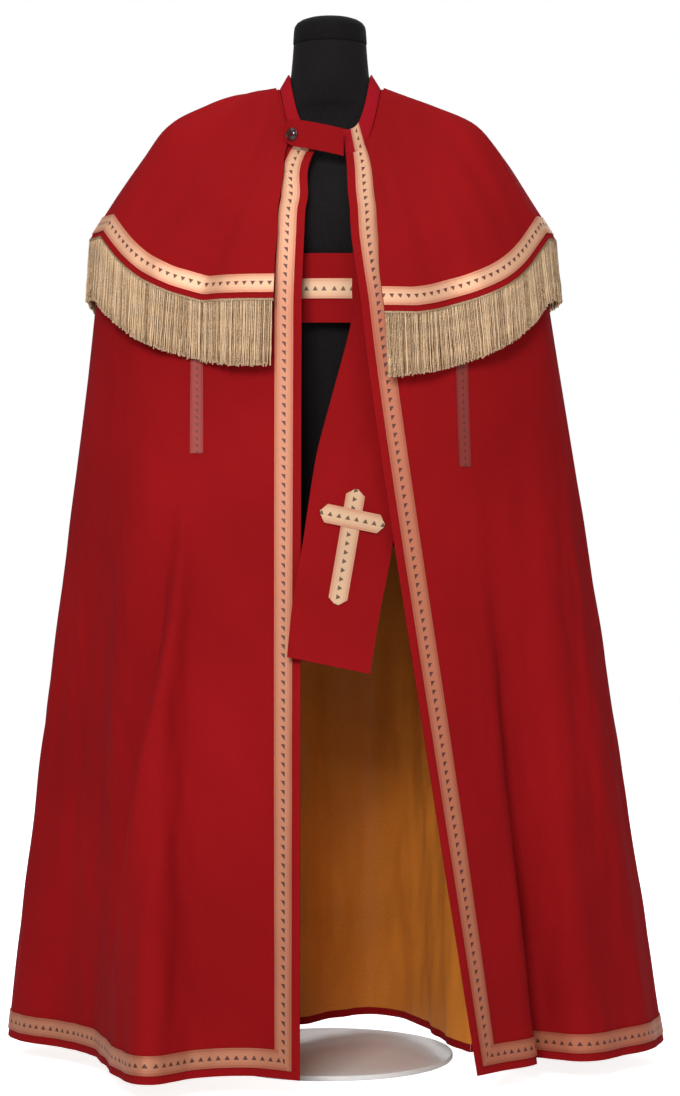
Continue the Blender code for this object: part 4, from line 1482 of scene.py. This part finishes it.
class CLOAK_OT_fringe(Operator):
    """Hang the twisted fringe from the cape's hem"""

    bl_idname = "cloak.fringe"
    bl_label = "Fringe"

    def execute(self, context):
        _, trim, _ = settings()
        tree = fringe_tree()
        strand = linked("strand_source", strand_mesh(trim.strand_radius))
        chance = np.random.default_rng(trim.fringe_seed)
        for part, surface in cape_parts().items():
            hem, normal, ends = surface["wall"][0][-1], surface["wall"][1][-1], surface["ends"]
            lengths = lengths_down(hem)
            base = self.roots(part, hem, normal, ends, lengths, chance)
            piece = run_tree(
                f"yarn_fringe_{part}", base, tree,
                Strand=strand, Sway=STRAND_SWAY, Seed=trim.fringe_seed, Yarn=material("fringe"),
            )
            dress(piece, "fringe", f"fringe_{part}")
            self.heading(part, hem, normal, ends, lengths)
        bpy.data.objects.remove(strand, do_unlink=True)
        return {"FINISHED"}

    def roots(self, part, hem, normal, ends, lengths, chance):
        """Root points of two layers of strands, with their fall and reach."""
        _, trim, _ = settings()
        count = int(lengths[-1] / trim.strand_pitch)
        points, falls, reaches = [], [], []
        for layer, depth in enumerate(STRAND_LAYER_DEPTHS):
            along = (np.arange(count) + 0.5 + 0.5 * layer * (1 - 1 / count)) / count
            along = np.clip(along + chance.normal(0, 0.16, count) / count, 0, 1)
            along = along * (lengths[-1] - 0.003) + 0.0015
            top, end, out = (laid(row, along, lengths) for row in (hem, ends, normal))
            fall = unit(end - top)
            length = np.linalg.norm(end - top, axis=-1) - 0.003
            sway = np.sin(np.round(along / 0.011) * 12.9898 + 4.1) * 0.022
            side = np.cross(out, fall)
            fall = fall + side * (sway + chance.normal(0, 0.006, count))[:, None]
            fall = unit(fall + out * chance.normal(0.0, 0.010, count)[:, None])
            points.append(top + fall * 0.003 + out * depth)
            falls.append(fall)
            reaches.append(length * (1.0 + chance.normal(-0.012, 0.012, count)))
        mesh = bpy.data.meshes.new(f"roots_{part}")
        mesh.from_pydata([tuple(map(float, point)) for point in np.concatenate(points)], [], [])
        fall = mesh.attributes.new("fall", "FLOAT_VECTOR", "POINT")
        fall.data.foreach_set("vector", np.concatenate(falls).ravel())
        reach = mesh.attributes.new("reach", "FLOAT", "POINT")
        reach.data.foreach_set("value", np.concatenate(reaches))
        return linked(f"roots_{part}", mesh)

    def heading(self, part, hem, normal, ends, lengths):
        """The knotted strip that the strands hang from."""
        fall = unit(ends - hem)
        grid = np.array([hem + fall * level for level in (0.0006, 0.0022, 0.0040)])
        uv = np.zeros((3, len(hem), 2))
        uv[..., 1] = lengths
        wall = (grid, np.array([normal] * 3), uv)
        dress(shell(f"fringe_heading_{part}", wall, (-0.0030, 0.0010), "fringe"), "fringe")


def collar_grid(count, rows):
    low, inset = CLOAK_RINGS[0], 0.0014
    turn = np.linspace(COLLAR_TOP[8], 360.0 - COLLAR_TOP[9], count + 1)
    foot = ring_at((low[0], low[1] - inset, low[2] - inset, low[3] - inset, *low[4:]), turn)
    foot[..., 2] -= 0.0010
    top = ring_at(COLLAR_TOP, turn)
    return np.array([foot + (top - foot) * share for share in np.linspace(0.0, 1.0, rows + 1)])


def tab_point(x, height):
    """A point of the tab, at an x and a share of its half height."""
    centre, wide, front = TAB_RING
    y = -front * math.sqrt(1.0 - ((x - centre) / wide) ** 2)
    middle = TAB_START_Z + TAB_SLOPE * (x - TAB_ENDS[0])
    near = (TAB_ENDS[0] + TAB_ROUNDING - x) / TAB_ROUNDING
    half = TAB_HALF_HEIGHT * (math.sqrt(1.0 - 0.86 * near * near) if near > 0 else 1.0)
    return (x, y, middle + height * half)


class CLOAK_OT_neck(Operator):
    """Make the stand collar, the buttoned tab and the button"""

    bl_idname = "cloak.neck"
    bl_label = "Collar, tab and button"

    def execute(self, context):
        self.collar()
        low, high = TAB_ENDS
        steps = [low + (high - low) * (step / 60) ** 1.3 for step in range(61)]
        heights = np.linspace(-1, 1, 13)
        grid = np.array([[tab_point(x, height) for x in steps] for height in heights])
        wall = (grid, grid_normals(grid), length_uv(grid))
        piece = shell("cloth_tab", wall, (-COLLAR_THICK, 0.0), "cloth")
        dress(piece, "cloth", "neck_tab")
        declare_grid(grid)
        self.button()
        return {"FINISHED"}

    def collar(self):
        """The stand collar and the short ends of braid near its two front ends."""
        grid = collar_grid(150, 10)
        normal, uv = grid_normals(grid, front=False), length_uv(grid)
        piece = shell("cloth_collar", (grid, normal, uv), (-COLLAR_THICK, 0.0), "collar")
        dress(piece, "collar", "collar")
        declare_grid(grid)
        along, down = uv[..., 0], uv[..., 1]
        from_left = along[:, -1:] - along
        for side, reach, near, far in (
            ("right", along, 0.004, 0.030),
            ("left", from_left, 0.012, 0.038),
        ):
            columns = np.nonzero((reach[5] > near) & (reach[5] < far))[0]
            first, last = int(columns[0]), int(columns[-1])
            start, end = along[:, first : first + 1], along[:, last : last + 1]
            strip = np.stack([down, (along - start) / (end - start)], axis=-1)
            mask = cells_of(grid, columns=(first, last))
            depths = (BRAID_GAP, COLLAR_BRAID_TOP)
            name = f"gold_collar_braid_{side}"
            dress(shell(name, (grid, normal, strip), depths, "braid", mask), "braid")

    def button(self):
        """The domed button, square to the tab."""
        _, _, form = settings()
        low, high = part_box("button")
        x, _, z = (float(side) for side in (np.array(low) + np.array(high)) / 2)
        foot = np.array(tab_point(x + 0.0005, 0.0))
        foot[2] = z
        ahead = np.array(tab_point(x + 0.003, 0.0)) - np.array(tab_point(x - 0.003, 0.0))
        way = unit(np.cross(ahead, (0.0, 0.0, 1.0)))
        way = -way if way[1] > 0 else way
        side = unit(np.cross(way, (0.0, 0.0, 1.0)))
        angle = np.linspace(0, 2 * math.pi, 49)[:-1, None]
        ring = np.cos(angle) * side + np.sin(angle) * np.cross(way, side)
        loops = [
            foot + way * (BRAID_GAP + height * BUTTON_DOME) + ring * radius * form.button_radius
            for radius, height in BUTTON_ROWS
        ]
        dress(loft("glossy_button", loops, "button", angle=40.0), "button", "button")


def hoop_grid(low, high, out, rows, count=160):
    """A level band round the form, and its normals."""
    wide, front, back = (size + out for size in SASH_RING)
    angle = np.linspace(0, 2 * math.pi, count + 1)
    ahead = np.cos(angle)
    depth = np.where(ahead > 0, front, back)
    grid = np.zeros((rows + 1, count + 1, 3))
    grid[..., 0] = wide * np.sin(angle)
    grid[..., 1] = -depth * ahead
    grid[..., 2] = np.linspace(low, high, rows + 1)[:, None]
    normal = np.zeros_like(grid)
    normal[..., 0] = np.sin(angle) / wide
    normal[..., 1] = -ahead / depth
    return grid, unit(normal)


def close_hoop(piece):
    """Joins the two ends of a hoop and drops the walls between them."""
    work = bmesh.new()
    work.from_mesh(piece.data)
    bmesh.ops.remove_doubles(work, verts=work.verts, dist=0.00001)
    seen = {}
    for face in work.faces:
        seen.setdefault(frozenset(vert.index for vert in face.verts), []).append(face)
    doubled = [face for faces in seen.values() if len(faces) > 1 for face in faces]
    bmesh.ops.delete(work, geom=doubled, context="FACES_ONLY")
    work.to_mesh(piece.data)
    work.free()
    piece.data.update()


def tail_point(share_down, share_across):
    """A point of the hanging sash end, smooth through its rows."""
    keys, table = np.arange(len(TAIL_ROWS)), np.array(TAIL_ROWS)
    at = share_down * (len(TAIL_ROWS) - 1)
    z, left_x, left_y, right_x, right_y, rise = (
        spline(keys, table[:, column], at) for column in range(6)
    )
    x = left_x + (right_x - left_x) * share_across
    y = left_y + (right_y - left_y) * share_across**1.15
    return np.stack([x, y, z + rise * share_across], axis=-1)


def shares_grid(rows, columns):
    return np.meshgrid(np.linspace(0, 1, rows), np.linspace(0, 1, columns), indexing="ij")


def tail_depth():
    """Depth of the sash end as a function of x and z."""
    points = tail_point(*shares_grid(161, 61)).reshape(-1, 3)

    def depth(x, z):
        distance = (points[:, 0] - x) ** 2 + (points[:, 2] - z) ** 2
        near = np.argsort(distance)[:6]
        weight = 1.0 / (distance[near] + 1e-9)
        return float((points[near, 1] * weight).sum() / weight.sum())

    return depth


class CLOAK_OT_sash(Operator):
    """Make the sash band, its hanging end and the braid cross on it"""

    bl_idname = "cloak.sash"
    bl_label = "Sash"

    def execute(self, context):
        self.band()
        self.tail()
        depth = tail_depth()
        for strip in CROSS_STRIPS:
            self.strip(*strip, depth)
        return {"FINISHED"}

    def band(self):
        """The band round the waist and its braid."""
        grid, normal = hoop_grid(SASH_LOW, SASH_HIGH, 0.0, 12)
        ripple = Waves(seed=21, count=6, shortest=0.08, longest=0.3, slant=0.6)
        uv = length_uv(grid)
        along = uv[..., 0]
        ends = smooth(along / 0.05) * smooth((along.max() - along) / 0.05)
        swell = 0.0006 + 0.0005 * ripple(along, uv[..., 1])
        grid = grid + normal * (swell * ends)[..., None]
        piece = shell("cloth_sash_band", (grid, normal, uv), (0.0, 0.0018), "cloth")
        close_hoop(piece)
        dress(piece, "cloth", "sash_band")
        declare_grid(grid)
        grid, normal = hoop_grid(SASH_BRAID_LOW, SASH_BRAID_HIGH, 0.0038, 3)
        uv = length_uv(grid) / (1.0, SASH_BRAID_HIGH - SASH_BRAID_LOW)
        piece = shell("gold_sash_braid", (grid, normal, uv), (-0.0006, 0.0006), "sash_braid")
        close_hoop(piece)
        dress(piece, "braid", "sash_braid")

    def tail(self):
        """The hanging end, with small creases."""
        cloth, _, _ = settings()
        down, across = shares_grid(91, 25)
        grid = tail_point(down, across)
        normal, uv = grid_normals(grid), length_uv(grid)
        crease = Waves(seed=31, count=6, shortest=0.05, longest=0.16, slant=0.2)
        quiet = smooth((down - 0.05) / 0.2) * (1.0 - 0.6 * smooth((down - 0.62) / 0.1))
        grid = grid + normal * (0.0008 * quiet * crease(uv[..., 0], uv[..., 1]))[..., None]
        wall = (grid, normal, uv)
        piece = shell("cloth_sash_tail", wall, (-cloth.cloth_thickness, 0.0), "cloth")
        dress(piece, "cloth", "sash_tail")
        declare_grid(grid)

    def strip(self, name, start, end, lift, depth):
        """A braid strip with pointed ends, laid on the hanging end."""
        _, trim, _ = settings()
        start, end = np.array(start), np.array(end)
        length = np.linalg.norm(end - start)
        along = (end - start) / length
        aside = np.array([-along[1], along[0]])
        point = 0.009
        stretches = ((0, point, 5), (point, length - point, 40), (length - point, length, 5))
        steps = sorted({step for stretch in stretches for step in np.linspace(*stretch)})
        rows, uvs = [], []
        for step in steps:
            near = min(step, length - step)
            half = trim.braid_width / 2 * min(1.0, 0.16 + 0.84 * near / point)
            row, marks = [], []
            for side in np.linspace(-1, 1, 9):
                x, z = start + along * step + aside * side * half
                row.append((x, depth(x, z), z))
                marks.append((step + 0.0045, 0.5 + side * half / trim.braid_width))
            rows.append(row)
            uvs.append(marks)
        grid = np.array(rows)
        wall = (grid, grid_normals(grid), np.array(uvs))
        depths = (lift - 0.0006, lift + trim.braid_thickness - 0.0006)
        dress(shell(f"gold_{name}", wall, depths, "sash_braid"), "braid", name)


def ring_loops(rows, count, steps):
    """Smooth level loops through rows of z, half width, front and back."""
    table = np.array(rows)
    keys = lengths_down(table[:, :2])
    at = np.linspace(0.0, keys[-1], steps)
    table = np.stack([spline(keys, table[:, column], at) for column in range(4)], axis=-1)
    angle = np.linspace(0, 2 * math.pi, count + 1)[:-1]
    ahead = np.cos(angle)
    return [
        np.stack(
            [wide * np.sin(angle), -np.where(ahead > 0, front, back) * ahead, np.full(count, z)],
            axis=-1,
        )
        for z, wide, front, back in table
    ]


def turned(rows, count, centre=0.0):
    """Round loops straight from rows of z and radius."""
    angle = np.linspace(0, 2 * math.pi, count + 1)[:-1]
    return [
        np.stack(
            [centre + radius * np.sin(angle), -radius * np.cos(angle), np.full(count, z)], axis=-1
        )
        for z, radius in rows
    ]


def rounded(low, high, radius, edge, steps=4):
    """Rows of z and radius for a disc or pole with softened rims."""
    rows = [(low, radius - edge)]
    for step in range(1, steps + 1):
        angle = math.pi / 2 * step / steps
        rows.append((low + edge * (1 - math.cos(angle)), radius - edge * (1 - math.sin(angle))))
    for step in range(steps + 1):
        angle = math.pi / 2 * step / steps
        rows.append((high - edge * (1 - math.sin(angle)), radius - edge * (1 - math.cos(angle))))
    return rows


class CLOAK_OT_form(Operator):
    """Make the smooth dress form, its cap, pole and base"""

    bl_idname = "cloak.form"
    bl_label = "Dress form and stand"

    def execute(self, context):
        dress(loft("jersey_torso", ring_loops(TORSO_RINGS, 96, 150), "form"), "form", "form_torso")
        dress(loft("jersey_cap", turned(CAP_ROWS, 96), "cap"), "form", "neck_cap")
        top = TORSO_RINGS[0][0] - SEAM_GAP
        foot = BASE_THICK + SEAM_GAP
        rows = rounded(foot, foot + 0.007, POLE_FOOT_RADIUS, 0.0012)
        rows += [(foot + 0.0072, 0.0160), (foot + 0.0085, 0.0136), (foot + 0.0105, POLE_RADIUS)]
        rows += [(top - 0.0105, POLE_RADIUS), (top - 0.0085, 0.0140), (top - 0.0072, 0.0220)]
        rows += rounded(top - 0.007, top, POLE_TOP_RADIUS, 0.0010)
        dress(loft("lacquered_pole", turned(rows, 48, POLE_X), "stand"), "stand", "stand_pole")
        rows = rounded(0.0, BASE_THICK, BASE_RADIUS, 0.0020, 5)
        rows += [(BASE_THICK, BASE_RADIUS * share) for share in (0.8, 0.5, 0.2)]
        dress(loft("lacquered_base", turned(rows, 128), "stand"), "stand", "stand_base")
        return {"FINISHED"}


def area_light(name, place, aim, size, power):
    data = bpy.data.lights.new(name, "AREA")
    data.shape = "RECTANGLE"
    data.size, data.size_y = size
    data.energy = power
    made = linked(name, data)
    made.location = place
    way = np.array(aim) - np.array(place)
    tilt = math.atan2(math.hypot(way[0], way[1]), -way[2])
    made.rotation_euler = (tilt, 0.0, math.atan2(way[0], -way[1]) + math.pi)


class CLOAK_OT_stage(Operator):
    """Make the pale floor, the soft studio light and the camera"""

    bl_idname = "cloak.stage"
    bl_label = "Floor, light and camera"

    def execute(self, context):
        scene = context.scene
        self.camera(scene)
        self.floor()
        for light in LIGHTS:
            area_light(*light)
        world = bpy.data.worlds.new("studio")
        world.use_nodes = True
        wires = Wiring(world.node_tree)
        strength = wires.by_camera(0.24, 1.0)
        background = world.node_tree.nodes["Background"]
        wires.feed(background, {"Color": (1.0, 1.0, 1.0), "Strength": strength})
        scene.world = world
        scene.view_settings.view_transform = "Standard"
        return {"FINISHED"}

    def camera(self, scene):
        """Focal length and shifts are in pixels of the photograph's height."""
        height = 1096.0
        data = bpy.data.cameras.new("camera")
        data.sensor_width = 36.0
        data.lens = 2580.0 / height * 36.0
        data.shift_x = 10.0 / height
        data.shift_y = -8.0 / height
        data.clip_end = 100.0
        scene.camera = linked("camera", data)
        scene.camera.location = (0.0, -4.0, 0.80)
        scene.camera.rotation_euler = (math.pi / 2, 0.0, 0.0)

    def floor(self):
        mesh = bpy.data.meshes.new("floor")
        corners = [(-8, -8, 0), (8, -8, 0), (8, 8, 0), (-8, 8, 0)]
        mesh.from_pydata(corners, [], [(0, 1, 2, 3)])
        made, wires, shader = start_material("pale_floor")
        wires.feed(shader, {
            "Base Color": (0.92, 0.92, 0.92),
            "Roughness": 0.9,
            "Emission Color": (1.0, 1.0, 1.0),
            "Emission Strength": wires.by_camera(0.05, 0.85),
        })
        mesh.materials.append(made)
        linked("floor", mesh)


class CLOAK_PT_pieces(Panel):
    """Lists the pieces of the cloak"""

    bl_label = "Cloak"
    bl_idname = "CLOAK_PT_pieces"
    bl_space_type = "VIEW_3D"
    bl_region_type = "UI"
    bl_category = "Cloak"

    def draw(self, context):
        for values in settings():
            box = self.layout.box()
            for name in values.__annotations__:
                box.prop(values, name)
        for operator in PIECES:
            self.layout.operator(operator.bl_idname)


PIECES = (
    CLOAK_OT_form,
    CLOAK_OT_cloth,
    CLOAK_OT_lining,
    CLOAK_OT_edge_braid,
    CLOAK_OT_cape,
    CLOAK_OT_fringe,
    CLOAK_OT_neck,
    CLOAK_OT_sash,
    CLOAK_OT_stage,
)
CLASSES = (ClothSettings, TrimSettings, FormSettings, *PIECES, CLOAK_PT_pieces)


def register():
    for made in CLASSES:
        bpy.utils.register_class(made)
    bpy.types.Scene.cloak_cloth = PointerProperty(type=ClothSettings)
    bpy.types.Scene.cloak_trim = PointerProperty(type=TrimSettings)
    bpy.types.Scene.cloak_form = PointerProperty(type=FormSettings)


def unregister():
    del bpy.types.Scene.cloak_form
    del bpy.types.Scene.cloak_trim
    del bpy.types.Scene.cloak_cloth
    for made in reversed(CLASSES):
        bpy.utils.unregister_class(made)


def main():
    register()
    for operator in PIECES:
        getattr(bpy.ops.cloak, operator.bl_idname.removeprefix("cloak."))()


if __name__ == "__main__":
    main()
